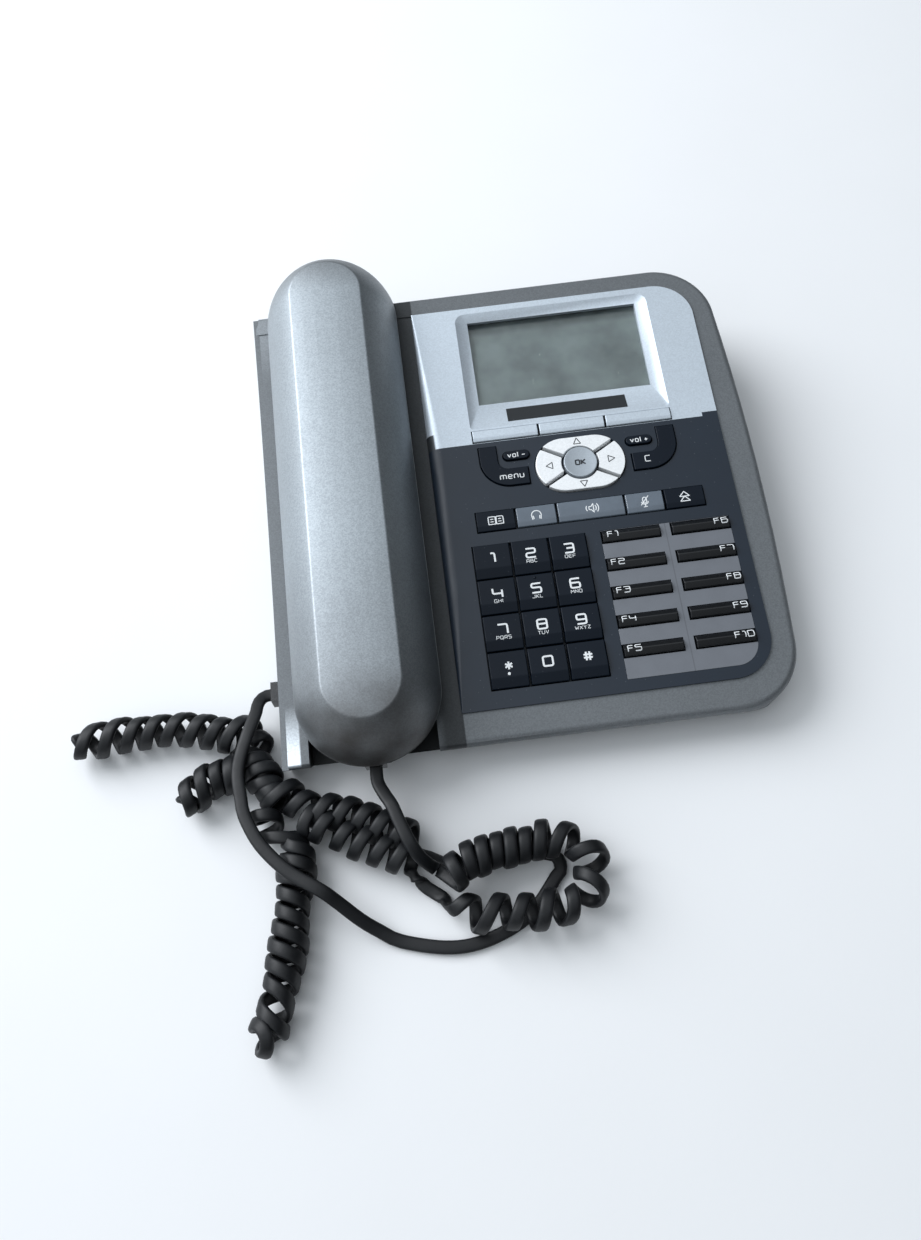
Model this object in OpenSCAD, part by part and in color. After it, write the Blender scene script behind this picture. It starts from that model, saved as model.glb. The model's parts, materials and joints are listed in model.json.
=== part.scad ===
// Corded desk telephone: a wedge base with a handset cradle and a key field,
// a handset that lifts off, and a curly cord that lies on the table.
// The face frame has u to the right, v away from the user and w out of the face.

/* [Face and base] */
// Slope of the face against the table
face_tilt = 7; // [6:0.5:9]
// Height of the front edge above the table
front_h = 17; // [16.5:0.5:20]
// Strip of housing that shows right of the key field
rim_right = 11.9; // [9:0.1:16]
// Strip of housing that shows behind the key field
rim_rear = 9.2; // [8:0.1:14]
// Strip of housing that shows before the key field
rim_front = 12; // [9:0.1:16]
// How far the housing's rim lies below the fascia
rim_drop = 0.8; // [0.5:0.1:1.2]
// Radius of the two right-hand corners in plan
corner_r = 25; // [20:1:30]
// Radius of the gentle bow of the right side
side_bow_r = 1100; // [900:50:2000]
// Rounding of the top rim
rim_fillet = 2.6; // [1.5:0.1:3.2]
// Wall of the housing and the tray
wall = 2.2; // [1.8:0.1:2.6]
// Skin of the housing's top
skin = 2.4; // [2:0.1:2.8]
// Height of the parting line above the table
tray_top = 5.5; // [5:0.1:6]
// Floor of the tray
tray_floor = 2; // [1.5:0.1:2.4]
// Height of the rubber feet
foot_h = 2; // [1.5:0.1:2.2]
// Radius of a rubber foot
foot_r = 6; // [4:0.5:8]
// Distance of the feet from the edges
foot_inset = 20; // [16:1:30]
// Lean of the front wall, inward to its foot, from the square of the face
front_lean = 18; // [8:1:20]

/* [Cradle] */
// Ledge that shows left of the handset
ledge = 7.1; // [5:0.1:10]
// Space between the handset and the fascia
cradle_gap = 6.2; // [5:0.1:9]
// How far the cradle's floor dips along its length
cradle_dip = 3.6; // [3:0.1:4]
// Half-width of the wells for the ear and mouth cups
well_half = 24; // [23:0.1:24.5]
// Corner radius of the wells
well_r = 8; // [5:0.5:10]
// Clearance under the cups
cup_clear = 0.2; // [0.1:0.05:0.4]
// Free space round the cups along the handset
well_margin = 4; // [2:0.5:5]
// Width of the hook plunger
hook_w = 12; // [8:0.5:16]
// Depth of the hook plunger along the handset
hook_d = 6; // [4:0.5:8]
// Travel of the hook plunger
hook_travel = 4; // [3:0.1:5]
// Distance of the hook plunger from the ear cup's centre
hook_from_ear = 40; // [36:1:60]

/* [Handset] */
// Length of the handset
handset_l = 219; // [214:1:226]
// Width of the handset
handset_w = 54.8; // [52:0.1:57]
// Height of the handset's crown above the face
handset_top = 25.2; // [23:0.1:27]
// Width of the flat facet along its back
facet_w = 28.8; // [24:0.1:32]
// Drop of the facet's edges below its crown
facet_drop = 0.8; // [0.5:0.1:1.2]
// Radius of the rounded sides
side_r = 36; // [30:1:45]
// Height of its parting line above the face
part_w = 3.6; // [3:0.1:4.4]
// Height of the grip's underside above the face
grip_w = 0.2; // [0.1:0.1:0.8]
// Wall of the handset
handset_wall = 2.2; // [1.6:0.1:2.6]
// How far the handset stands out past the base's front
front_over = 4.1; // [2:0.1:5]
// Radius of the ear and mouth cups
cup_r = 20.5; // [18:0.1:21.5]
// Depth of the cups below the face
cup_depth = 10.5; // [9:0.1:11]
// Rounding of the cups' edge
cup_round = 4; // [2:0.5:5]
// Mouth cup's centre from the handset's front end
mouth_from_front = 31; // [29:0.5:36]
// Space behind the ear cup, up to the line of the fascia's rear edge
ear_margin = 2.4; // [2:0.1:6]
// Radius of the receiver capsule
receiver_r = 14; // [10:0.5:16]
// Thickness of the receiver capsule
receiver_h = 7; // [5:0.5:9]
// Radius of the microphone capsule
mic_r = 4.8; // [3:0.1:6]
// Thickness of the microphone capsule
mic_h = 5; // [3:0.5:6]

/* [Key field] */
// Sideways pitch of the dial keys
dial_pu = 15; // [14:0.1:16]
// Pitch of the dial keys away from the user
dial_pv = 14.75; // [14:0.05:16]
// Fascia left of the dial keys
pad_left = 11.9; // [11:0.1:16]
// Fascia before the dial keys
pad_front = 6.85; // [6:0.05:10]
// Fascia between the dial keys and the label field
pad_gap = 5.9; // [5:0.1:9]
// Fascia right of the label field
pad_right = 5.3; // [5:0.1:9]
// Width of the label field
label_w = 50.9; // [48:0.1:56]
// Length of the label field
label_d = 61; // [58:0.1:64]
// Corner radius of the label field
label_r = 9; // [6:0.5:10]
// Width of the gutter between the two columns of function keys
label_gutter = 4; // [3:0.1:6]
// Pitch of the function keys
f_pitch = 11.8; // [11:0.1:12]
// Width of a function key away from the user
f_d = 5; // [4.6:0.1:5.6]
// Gap between the dial keys and the row above them
row_gap = 5.5; // [5:0.1:8]
// Width of the key row away from the user
row_d = 8.7; // [8:0.1:10]
// Indent of the key row from the dial keys' left side
row_indent = 3.1; // [2:0.1:5]
// Length of the zone with the navigation keys
nav_zone = 30.9; // [30:0.1:34]
// Navigation ring's centre from the dial keys' left side
nav_from_left = 48.1; // [46:0.1:50]
// Navigation ring's centre from the key row
nav_from_row = 16.3; // [15:0.1:17]
// Width of the navigation ring
nav_w = 36.4; // [34:0.1:38]
// Width of the navigation ring away from the user
nav_d = 24; // [23:0.1:26]
// Radius of the OK key
ok_r = 6.9; // [6:0.1:7]
// Width of the slots between the navigation keys
nav_slot = 1.2; // [0.8:0.1:1.6]
// Angle of the slots against the row
nav_angle = 30; // [26:1:34]
// Length of a volume key
vol_w = 10.9; // [10:0.1:12]
// Width of a volume key
vol_d = 4.2; // [4:0.1:4.6]
// Volume keys' sideways distance from the ring's centre
vol_out = 25; // [24:0.1:26]
// Volume keys' rise above the ring's centre
vol_rise = 7.1; // [6:0.1:8]
// Outer edge of an angled key from the ring's centre
ell_out = 40; // [38:0.1:41]
// Inner end of an angled key from the ring's centre
ell_in = 20.9; // [20:0.1:22]
// Width of an angled key's arm
ell_arm = 7.3; // [6.6:0.1:8]
// Width of an angled key's foot
ell_foot = 7.7; // [7:0.1:8]
// Lower edge of an angled key below the ring's centre
ell_low = 6.3; // [5:0.1:7]
// Upper end of an angled key above the ring's centre
ell_high = 12.3; // [11:0.1:13]
// Outer corner radius of an angled key
ell_corner = 12; // [9:0.5:14]
// Inner corner radius of an angled key
ell_inner = 4; // [3:0.5:5]

/* [Display] */
// Width of the bevelled recess
recess_w = 82.3; // [80:0.1:86]
// Length of the bevelled recess
recess_d = 56.3; // [54:0.1:58]
// Depth of the bevelled recess
recess_depth = 3.2; // [2.6:0.1:3.4]
// Width of the window
window_w = 72.2; // [66:0.1:74]
// Length of the window
window_d = 40.5; // [36:0.1:42]
// Bevel behind the window
bevel_rear = 2.9; // [2.6:0.1:6]
// Fascia left of the recess
recess_left = 18.2; // [17:0.1:20]
// Bevel left of the window
bevel_left = 5.2; // [4:0.1:6]
// Fascia behind the recess
recess_rear = 2.8; // [2.4:0.1:5]
// Radius of the recess's rear corners
recess_r = 4.2; // [2:0.1:6]
// Radius of the recess's front corners
recess_front_r = 1.5; // [1:0.1:3]
// Width of the soft keys away from the user
soft_d = 5.3; // [4.8:0.1:5.6]
// Fascia between the soft keys and the recess
soft_gap = 1; // [0.8:0.1:1.6]
// Width of the step in the line between the two fascias
step_w = 6.2; // [5:0.1:8]
// Height of the step in the line between the two fascias
step_d = 1.8; // [1:0.1:2]

/* [Keys] */
// Gap between neighbouring keys
key_gap = 0.4; // [0.3:0.05:0.5]
// Clearance between a key and its opening
key_clear = 0.25; // [0.2:0.05:0.3]
// How far a key's cap reaches below the face
cap_in = 1.9; // [1.7:0.1:2.1]
// Travel of a key
key_travel = 1; // [0.8:0.1:1.1]
// Free space left at the end of a key's travel
key_spare = 0.3; // [0.25:0.05:0.4]
// How far a key's stem lies inside its cap
stem_inset = 1.3; // [1.2:0.05:1.4]
// How far a key's hook grips under its web
hook_grip = 0.6; // [0.4:0.05:0.7]
// Thickness of a key's hook
hook_t = 0.8; // [0.6:0.1:1]
// Play of a key's hook under its web
hook_play = 0.2; // [0.1:0.05:0.3]
// Thickness of the fascia's lip
lip_t = 2.4; // [2:0.1:2.6]
// Width of the fascia's lip
lip_w = 3.4; // [3:0.1:4]
// Thickness of the web under the keys
web_t = 1; // [0.8:0.1:1.2]
// Thickness of the silicone mat
mat_t = 1; // [0.8:0.1:1.4]
// Height of the mat's domes
dome_h = 1.1; // [0.8:0.1:1.4]
// Thickness of the circuit board
board_t = 1.6; // [1.2:0.1:2]

/* [Cord] */
// Width of the flat cord
cord_w = 4.2; // [4:0.1:4.3]
// Thickness of the flat cord
cord_t = 2.4; // [2:0.1:2.6]
// Outer diameter of the cord's curls
coil_d = 13.6; // [12:0.1:13.8]
// Width of the modular plugs
plug_w = 7.7; // [7.4:0.1:8]
// Height of the modular plugs
plug_h = 6.6; // [6.2:0.1:6.8]
// Length of the modular plugs
plug_l = 11; // [10:0.1:12]
// Clearance of a plug in its socket
plug_clear = 0.15; // [0.1:0.05:0.2]
// Base socket's distance from the base's front edge
socket_from_front = 33; // [30:1:40]
// Height of the base socket's centre above the table
socket_z = 10.6; // [10:0.1:12]

/* [Hidden] */
$fn = 64;
eps = 0.01;
far = 400;
fine = 720;

KEY_NAMES = ["key_1", "key_2", "key_3", "key_4", "key_5", "key_6",
             "key_7", "key_8", "key_9", "key_star", "key_0", "key_hash"];
F_NAMES = [for (i = [1 : 10]) str("f_key_", i)];
ROW_NAMES = ["phonebook_key", "headset_key", "speaker_key", "mute_key", "shift_key"];
SOFT_NAMES = ["soft_key_left", "soft_key_middle", "soft_key_right"];
NAV_NAMES = ["nav_right", "nav_up", "nav_left", "nav_down"];

// Overall sizes follow from what stands side by side and one behind another
display_zone = key_gap + soft_d + soft_gap + recess_d + recess_rear;
fascia_w = pad_left + 3 * dial_pu + pad_gap + label_w + pad_right;
fascia_d = pad_front + 4 * dial_pv + row_gap + row_d + nav_zone + display_zone;
cradle_w = ledge + handset_w + cradle_gap;
base_w = cradle_w + fascia_w + rim_right;
base_d = rim_front + fascia_d + rim_rear;

fascia_r = base_w / 2 - rim_right;
fascia_l = fascia_r - fascia_w;
fascia_f = -base_d / 2 + rim_front;
fascia_b = base_d / 2 - rim_rear;
fascia_corner = corner_r - 9;

handset_u = -base_w / 2 + ledge + handset_w / 2;
handset_v = -base_d / 2 - front_over + handset_l / 2;
mouth_v = handset_v - handset_l / 2 + mouth_from_front;
ear_v = fascia_b - ear_margin - cup_r;

// Place of the face frame's origin, with the handset's middle at y = 0
face_z = front_h + base_d / 2 * sin(face_tilt) + rim_drop * cos(face_tilt);
face_y = -handset_v * cos(face_tilt) + part_w * sin(face_tilt);
rear_y = face_y + base_d / 2 * cos(face_tilt) + (rim_drop + rim_fillet) * sin(face_tilt);

// Layers under the face, measured along w
cap_bottom = -cap_in;
web_top = cap_bottom - key_travel - key_spare;
web_bottom = web_top - web_t;
hook_top = web_bottom - hook_play;
hook_bottom = hook_top - hook_t;
dome_top = hook_bottom - key_travel - key_spare;
mat_top = dome_top - dome_h;
board_top = mat_top - mat_t;
window_t = 1.2;
window_rest = 1;
cavity_top = -rim_drop - skin;
cradle_under = -rim_drop - cradle_dip - skin;
well_floor = -cup_depth - cup_clear;

// Key field, chained from the fascia's front left corner
dial_u = fascia_l + pad_left;
dial_v = fascia_f + pad_front;
dial_top = dial_v + 4 * dial_pv;
label_u = dial_u + 3 * dial_pu + pad_gap;
label_bottom = dial_top - label_d;
f_w = (label_w - label_gutter) / 2;
row_v = dial_top + row_gap;
row_top = row_v + row_d;
nav_u = dial_u + nav_from_left;
nav_v = row_top + nav_from_row;
split_v = row_top + nav_zone;
soft_v = split_v + key_gap;
recess_u = fascia_l + recess_left + recess_w / 2;
recess_v = soft_v + soft_d + soft_gap;
window_u = recess_u - recess_w / 2 + bevel_left + window_w / 2;
window_v = recess_v + recess_d - bevel_rear - window_d;

module on_face() {
    translate([0, face_y, face_z]) rotate([face_tilt, 0, 0]) children();
}

// Slab between two heights in the face frame
module layer(low, high) {
    translate([0, 0, low]) linear_extrude(height = high - low) children();
}

module rounded_rect(size, r) {
    translate([r, 0]) square([size[0] - 2 * r, size[1]]);
    translate([0, r]) square([size[0], size[1] - 2 * r]);
    for (x = [r, size[0] - r], y = [r, size[1] - r]) translate([x, y]) circle(r);
}

module stadium(length, r) {
    square([length - 2 * r, 2 * r], center = true);
    for (s = [-1, 1]) translate([s * (length / 2 - r), 0]) circle(r);
}

// Base

// Corner circles reach a hair past the sides, so that they cross them and don't only touch
corner_cross = 0.04;
bow_u = base_w / 2 - side_bow_r;
corner_v = base_d / 2 - corner_r + corner_cross;
corner_u = bow_u + sqrt(pow(side_bow_r - corner_r + corner_cross, 2) - pow(corner_v, 2));
bow_angle = atan2(corner_v, corner_u - bow_u);
bow_overlap = atan(eps / side_bow_r);

module corner_waste(r) {
    difference() {
        polygon([[0, 0], 3 * r * [cos(bow_angle), sin(bow_angle)], [3 * r, 3 * r], [0, 3 * r]]);
        circle(r);
    }
}

module base_outline(inset = 0) {
    difference() {
        intersection() {
            translate([-base_w / 2 + inset, -base_d / 2 + inset])
                square([base_w - 2 * inset, base_d - 2 * inset]);
            translate([bow_u, 0]) circle(side_bow_r - inset, $fn = fine);
        }
        for (s = [0, 1]) mirror([0, s])
            translate([corner_u, corner_v]) corner_waste(corner_r - inset);
    }
}

// The base's outer form, or its inside when inset, between two heights above the table
module base_form(inset, top_w, low_z, high_z) {
    intersection() {
        on_face() layer(-far / 2, top_w) base_outline(inset);
        translate([-far / 2, rear_y - far - inset, low_z]) cube([far, far, high_z - low_z]);
        on_face() translate([-far / 2, -base_d / 2, -rim_drop - rim_fillet - 1.2]) rotate([front_lean, 0, 0])
            translate([0, inset, -far / 2]) cube(far);
    }
}

// The arc starts a hair outside its edge, so that it crosses the wall
function fillet_arc(r) = [for (a = [0 : 22.5 : 90]) [r - (r + corner_cross) * cos(a), -r + r * sin(a)]];

// Waste outside a rounded edge: x runs inward from the edge, y up from the rim
module fillet_waste(r) {
    polygon(concat([[-r, -r]], fillet_arc(r), [[r, r], [-r, r]]));
}

module rim_waste() {
    translate([0, 0, -rim_drop]) {
        for (s = [-1, 1]) translate([-far / 2, s * base_d / 2, 0]) mirror([0, s > 0 ? 1 : 0, 0])
            rotate([90, 0, 90]) linear_extrude(height = far / 2 + corner_u + eps)
                fillet_waste(rim_fillet);
        for (s = [-1, 1]) mirror([0, s < 0 ? 1 : 0, 0]) translate([corner_u, corner_v, 0])
            rotate([0, 0, bow_angle]) rotate_extrude(angle = 90 - bow_angle)
                translate([corner_r, 0]) mirror([1, 0]) fillet_waste(rim_fillet);
        translate([bow_u, 0, 0]) rotate([0, 0, -bow_angle - bow_overlap])
            rotate_extrude(angle = 2 * (bow_angle + bow_overlap), $fn = fine)
                translate([side_bow_r, 0]) mirror([1, 0]) fillet_waste(rim_fillet);
    }
}

// Long hollow of the cradle: part of a drum that lies across the base
dip_half = (fascia_b + base_d / 2) / 2 + 6;
dip_v = (fascia_b - base_d / 2) / 2;
dip_r = (pow(dip_half, 2) + pow(cradle_dip, 2)) / (2 * cradle_dip);
dip_w = dip_r - rim_drop - cradle_dip;
dip_fan = asin(dip_half / dip_r) + 1;

function dip_floor(v) = dip_w - sqrt(pow(dip_r, 2) - pow(v - dip_v, 2));

module cradle_waste() {
    intersection() {
        translate([-far / 2, dip_v, dip_w]) rotate([0, 90, 0])
            cylinder(r = dip_r, h = far / 2 + fascia_l, $fn = fine);
        translate([-far / 2, -far / 2, -far / 4]) cube([far, far / 2 + fascia_b, far / 2]);
    }
    translate([-base_w / 2, dip_v, dip_w]) rotate([90, 0, 90]) rotate([0, 0, -90 - dip_fan])
        rotate_extrude(angle = 2 * dip_fan, $fn = fine)
            translate([dip_r, 0]) rotate(90) mirror([0, 1]) fillet_waste(rim_fillet);
}

module well_plan(grow, v_front, v_rear) {
    translate([handset_u - well_half - grow, v_front - grow])
        rounded_rect([2 * (well_half + grow), v_rear - v_front + 2 * grow], well_r + grow);
}

module mouth_plan(grow) {
    well_plan(grow, -base_d / 2 - 3 * well_r, mouth_v + cup_r + well_margin);
}

module ear_plan(grow) {
    well_plan(grow, ear_v - cup_r - well_margin, fascia_b - ear_margin / 2);
}

module wells(grow, low, high) {
    layer(low, high) {
        mouth_plan(grow);
        ear_plan(grow);
    }
}

hook_v = ear_v - hook_from_ear;
hook_clear = 0.3;

module hook_slot(grow) {
    translate([handset_u - hook_w / 2 - grow, hook_v - hook_d / 2 - grow])
        square([hook_w + 2 * grow, hook_d + 2 * grow]);
}

// Sockets: the cord's at the left side, the line's at the rear
socket_v = -base_d / 2 + socket_from_front;
socket_y = face_y + socket_v * cos(face_tilt);
socket_depth = ledge + handset_w / 2 - well_half - wall - 0.6;
line_w = 11.8;
line_h = 8;
line_depth = 12;
line_x = fascia_r - 40;
line_z = 17;

module base_socket(grow) {
    translate([-base_w / 2 - (grow > 1 ? 0 : 1), socket_y - plug_w / 2 - grow, socket_z - plug_h / 2 - grow])
        cube([socket_depth + (grow > 1 ? wall / 2 : 1), plug_w + 2 * grow, plug_h + 2 * grow]);
}

module line_socket(grow) {
    translate([line_x - line_w / 2 - grow, rear_y - line_depth - grow, line_z - line_h / 2 - grow])
        cube([line_w + 2 * grow, line_depth + (grow > 0 ? grow : 1), line_h + 2 * grow]);
}

module fascia_outline(inset = 0) {
    difference() {
        translate([fascia_l + inset, fascia_f + inset])
            square([fascia_w - 2 * inset, fascia_d - 2 * inset]);
        for (s = [0, 1]) translate([0, (fascia_b + fascia_f) / 2]) mirror([0, s])
            translate([fascia_r - fascia_corner, fascia_d / 2 - fascia_corner]) difference() {
                square(2 * fascia_corner);
                circle(fascia_corner - inset);
            }
    }
}

// The fascia's thick middle, which passes through the housing
module fascia_core(grow = 0) {
    intersection() {
        fascia_outline(lip_w - grow);
        translate([fascia_l + lip_w - grow, -far / 2]) square(far);
    }
}

module upper_housing() {
    color("dimgray") difference() {
        union() {
            difference() {
                base_form(0, -rim_drop, tray_top, far);
                difference() {
                    base_form(wall, cavity_top, tray_top - 1, far);
                    on_face() translate([-far / 2, -far / 2, cradle_under])
                        cube([far / 2 + fascia_l + lip_w + wall, far, far / 4]);
                }
            }
            intersection() {
                base_form(0, -rim_drop, tray_top, far);
                union() {
                    on_face() wells(wall, well_floor - wall, -rim_drop);
                    base_socket(wall);
                    line_socket(wall);
                }
            }
        }
        on_face() {
            rim_waste();
            cradle_waste();
            wells(0, well_floor, far / 4);
            layer(cradle_under - far / 4, far / 4) hook_slot(hook_clear);
            layer(-lip_t, far / 4) fascia_outline();
            layer(web_bottom, far / 4) translate([fascia_l, fascia_f]) square([lip_w + 1, fascia_d]);
            layer(web_bottom - far / 8, far / 4) fascia_core(key_clear);
        }
        base_socket(plug_clear);
        line_socket(0);
    }
}

speaker_r = 20;
speaker_h = 10;
speaker_x = nav_u;
speaker_y = face_y + nav_v;
grille_slot = 2;
grille_pitch = 5;

module lower_shell() {
    color("gray") difference() {
        base_form(0, -rim_drop, foot_h, tray_top);
        base_form(wall, 0, foot_h + tray_floor, far);
        for (i = [-2 : 2]) translate([speaker_x + i * grille_pitch, speaker_y, 0])
            linear_extrude(height = far / 4) rotate(90) stadium(1.2 * speaker_r, grille_slot / 2);
    }
}

module loudspeaker() {
    third = speaker_h / 3;
    color("silver") translate([speaker_x, speaker_y, foot_h + tray_floor]) rotate_extrude()
        polygon([[0, 0], [speaker_r, 0], [speaker_r, third], [speaker_r / 2, 2 * third],
                 [speaker_r / 2, speaker_h], [0, speaker_h]]);
}

foot_front_y = face_y - base_d / 2 + foot_inset;
foot_rear_y = rear_y - foot_inset;

module rubber_feet() {
    color("black") for (x = [-1, 1] * (base_w / 2 - foot_inset), y = [foot_front_y, foot_rear_y])
        translate([x, y, 0]) cylinder(r = foot_r, h = foot_h);
}

// Fascia and keys

// Keeps the part of the key field before the split, or behind it
step_u = fascia_r - step_w;

module field_part(rear) {
    intersection() {
        children();
        if (rear) difference() {
            translate([-far / 2, split_v]) square(far);
            translate([step_u, split_v - 1]) square([far, step_d + 1]);
        }
        else union() {
            translate([-far / 2, split_v - far]) square(far);
            translate([step_u, split_v - 1]) square([far, step_d + 1]);
        }
    }
}

// Rolled left side of the fascia: slanted drums of large radius cut it deepest at the middle of its length
roll_w = 5.9; // [4:0.1:6.4]
roll_h = 3.6;
roll_ends = 0.08;
roll_parts = 4;

function roll_at(i) = [roll_w * (1 - sin(90 * i / roll_parts)), -roll_h * (1 - cos(90 * i / roll_parts))];

module skirt_waste() {
    for (i = [0 : roll_parts - 1]) {
        step = roll_at(i) - roll_at(i + 1);
        slope = atan2(step[1], step[0]);
        deep = roll_at(i) * [sin(slope), -cos(slope)];
        rise = deep * (1 - roll_ends);
        drum_r = (pow(fascia_d / 2, 2) + pow(rise, 2)) / (2 * rise);
        translate([fascia_l, (fascia_f + fascia_b) / 2, 0]) rotate([0, 90 - slope, 0])
            translate([deep - drum_r, 0, 0]) cylinder(r = drum_r, h = far, center = true, $fn = 4 * fine);
    }
}

module fascia_blank(rear) {
    difference() {
        union() {
            layer(-lip_t, 0) field_part(rear) fascia_outline();
            layer(web_bottom, 0) field_part(rear) union() {
                fascia_core();
                translate([fascia_l, fascia_f]) square([lip_w + eps, fascia_d]);
            }
        }
        skirt_waste();
    }
}

// Opening for a key: the cap's well above the web, the stem's hole through it
module key_opening() {
    layer(web_top, far / 4) children(0);
    layer(web_bottom - 1, far / 4) children(1);
}

// Stem and hook under a cap
module key_leg() {
    layer(hook_bottom, cap_bottom) children(0);
    layer(hook_bottom, hook_top) children(1);
}

hole_inset = stem_inset - key_clear;
hook_inset = hole_inset - hook_grip;

module key_plate(size, inset = 0) {
    square([size[0] - 2 * inset, size[1] - 2 * inset], center = true);
}

// Rectangular key whose top follows a profile of [v, w] points across the key
module bar_key(size, top) {
    translate([-size[0] / 2, 0, 0]) rotate([90, 0, 90]) linear_extrude(height = size[0])
        polygon(concat([[size[1] / 2, cap_bottom], [-size[1] / 2, cap_bottom]], top));
    key_leg() {
        key_plate(size, stem_inset);
        key_plate(size, hook_inset);
    }
}

module bar_opening(size) {
    key_opening() {
        key_plate(size, -key_clear);
        key_plate(size, hole_inset);
    }
}

dial_size = [dial_pu - key_gap, dial_pv - key_gap];
function dial_at(i) = [dial_u + (i % 3 + 0.5) * dial_pu, dial_top - (floor(i / 3) + 0.5) * dial_pv];
function sloped_top(d, rear, ridge, front, ridge_at) =
    [[-d / 2, front], [d * ridge_at, ridge], [d / 2, rear]];

module dial_key(i) {
    color([0.1, 0.12, 0.16]) on_face() translate(dial_at(i))
        bar_key(dial_size, sloped_top(dial_size[1], 1.4, 1.9, 0.5, -0.22));
}

f_size = [f_w - key_gap, f_d];
function f_at(i) = [label_u + (i < 5 ? f_w / 2 : label_w - f_w / 2),
                    dial_top - f_d / 2 - (i % 5) * f_pitch - key_gap];

module f_key(i) {
    color([0.05, 0.05, 0.06]) on_face() translate(f_at(i))
        bar_key(f_size, sloped_top(f_d, 0.6, 2, 0.6, 0.05));
}

row_widths = [15.9, 16.4, 27.2, 15.6, 16.2];
function row_left(i) = i == 0 ? dial_u + row_indent : row_left(i - 1) + row_widths[i - 1];
function row_size(i) = [row_widths[i] - key_gap, row_d];
function row_at(i) = [row_left(i) + row_widths[i] / 2, row_v + row_d / 2];

module row_key(i) {
    color(i == 0 || i == 4 ? [0.1, 0.12, 0.16] : [0.36, 0.4, 0.44]) on_face() translate(row_at(i))
        bar_key(row_size(i), sloped_top(row_d, 0.9, 1, 0.4, -0.25));
}

soft_w = (recess_w - 0.2) / 3;
soft_size = [soft_w - key_gap, soft_d];
function soft_at(i) = [recess_u + (i - 1) * soft_w, soft_v + soft_d / 2];

module soft_key(i) {
    color("silver") on_face() translate(soft_at(i))
        bar_key(soft_size, sloped_top(soft_d, 0.8, 0.9, 0.4, -0.2));
}

// Navigation ring: four keys round the OK key
ok_gap = 0.5;

module nav_plan(k, inset) {
    half = k % 2 == 0 ? nav_angle : 90 - nav_angle;
    shift = (nav_slot / 2 + inset) / sin(half);
    intersection() {
        difference() {
            stadium(nav_w - 2 * inset, nav_d / 2 - inset);
            circle(ok_r + ok_gap + inset);
        }
        rotate(90 * k) translate([shift, 0])
            polygon([[0, 0], nav_w * [cos(half), -sin(half)], nav_w * [cos(half), sin(half)]]);
    }
}

module nav_key(k) {
    color("silver") on_face() translate([nav_u, nav_v]) {
        layer(cap_bottom, 1.2) nav_plan(k, 0);
        key_leg() {
            nav_plan(k, stem_inset);
            nav_plan(k, hook_inset);
        }
    }
}

ok_dish_r = 40;

module ok_key() {
    color("silver") on_face() translate([nav_u, nav_v]) {
        difference() {
            layer(cap_bottom, 1.8) circle(ok_r);
            translate([0, 0, 1.2 + ok_dish_r]) sphere(ok_dish_r, $fn = 180);
        }
        key_leg() {
            circle(ok_r - stem_inset);
            circle(ok_r - hook_inset);
        }
    }
}

module nav_openings() {
    translate([nav_u, nav_v]) {
        layer(web_top, far / 4) stadium(nav_w + 2 * key_clear, nav_d / 2 + key_clear);
        for (k = [0 : 3]) layer(web_bottom - 1, far / 4) nav_plan(k, hole_inset);
        layer(web_bottom - 1, far / 4) circle(ok_r - hole_inset);
    }
}

vol_size = [vol_w, vol_d];
function vol_at(s) = [nav_u + s * vol_out, nav_v + vol_rise];

module volume_key(s) {
    color([0.1, 0.12, 0.16]) on_face() translate(vol_at(s)) {
        layer(cap_bottom, 1) stadium(vol_size[0], vol_size[1] / 2);
        key_leg() {
            stadium(vol_size[0] - 2 * stem_inset, vol_size[1] / 2 - stem_inset);
            stadium(vol_size[0] - 2 * hook_inset, vol_size[1] / 2 - hook_inset);
        }
    }
}

module volume_opening(s) {
    translate(vol_at(s)) key_opening() {
        stadium(vol_size[0] + 2 * key_clear, vol_size[1] / 2 + key_clear);
        stadium(vol_size[0] - 2 * hole_inset, vol_size[1] / 2 - hole_inset);
    }
}

// Angled keys beside the ring: an upright arm and a foot that turns towards the ring
module ell_plan(s, inset) {
    corner = ell_corner - inset;
    inner = ell_inner + inset;
    left = -ell_out + inset;
    low = -ell_low + inset;
    arm_right = -ell_out + ell_arm - inset;
    foot_top = -ell_low + ell_foot - inset;
    mirror([s > 0 ? 1 : 0, 0]) difference() {
        union() {
            translate([left, low]) square([ell_arm - 2 * inset, ell_high + ell_low - 2 * inset]);
            translate([left, low]) square([ell_out - ell_in - 2 * inset, ell_foot - 2 * inset]);
            difference() {
                translate([arm_right - eps, foot_top - eps]) square(inner + eps);
                translate([arm_right + inner, foot_top + inner]) circle(inner);
            }
        }
        difference() {
            translate([left - 1, low - 1]) square(corner + 1);
            translate([left + corner, low + corner]) circle(corner);
        }
    }
}

module ell_key(s) {
    color([0.1, 0.12, 0.16]) on_face() translate([nav_u, nav_v]) {
        layer(cap_bottom, 0.8) ell_plan(s, 0);
        key_leg() {
            ell_plan(s, stem_inset);
            ell_plan(s, hook_inset);
        }
    }
}

module ell_opening(s) {
    translate([nav_u, nav_v]) key_opening() {
        ell_plan(s, -key_clear);
        ell_plan(s, hole_inset);
    }
}

label_t = 0.8;

module label_plan(grow = 0) {
    translate([label_u - grow, label_bottom - grow]) difference() {
        square([label_w + 2 * grow, label_d + 2 * grow]);
        translate([label_w - label_r + grow, -1]) difference() {
            square([label_r + 1, label_r + 1]);
            translate([0, label_r + 1]) circle(label_r);
        }
    }
}

module label_cover() {
    color([0.45, 0.46, 0.48]) on_face() difference() {
        layer(-label_t, 0) label_plan();
        for (i = [0 : 9]) translate(f_at(i)) layer(-far / 4, far / 4) key_plate(f_size, -key_clear);
    }
}

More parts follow.
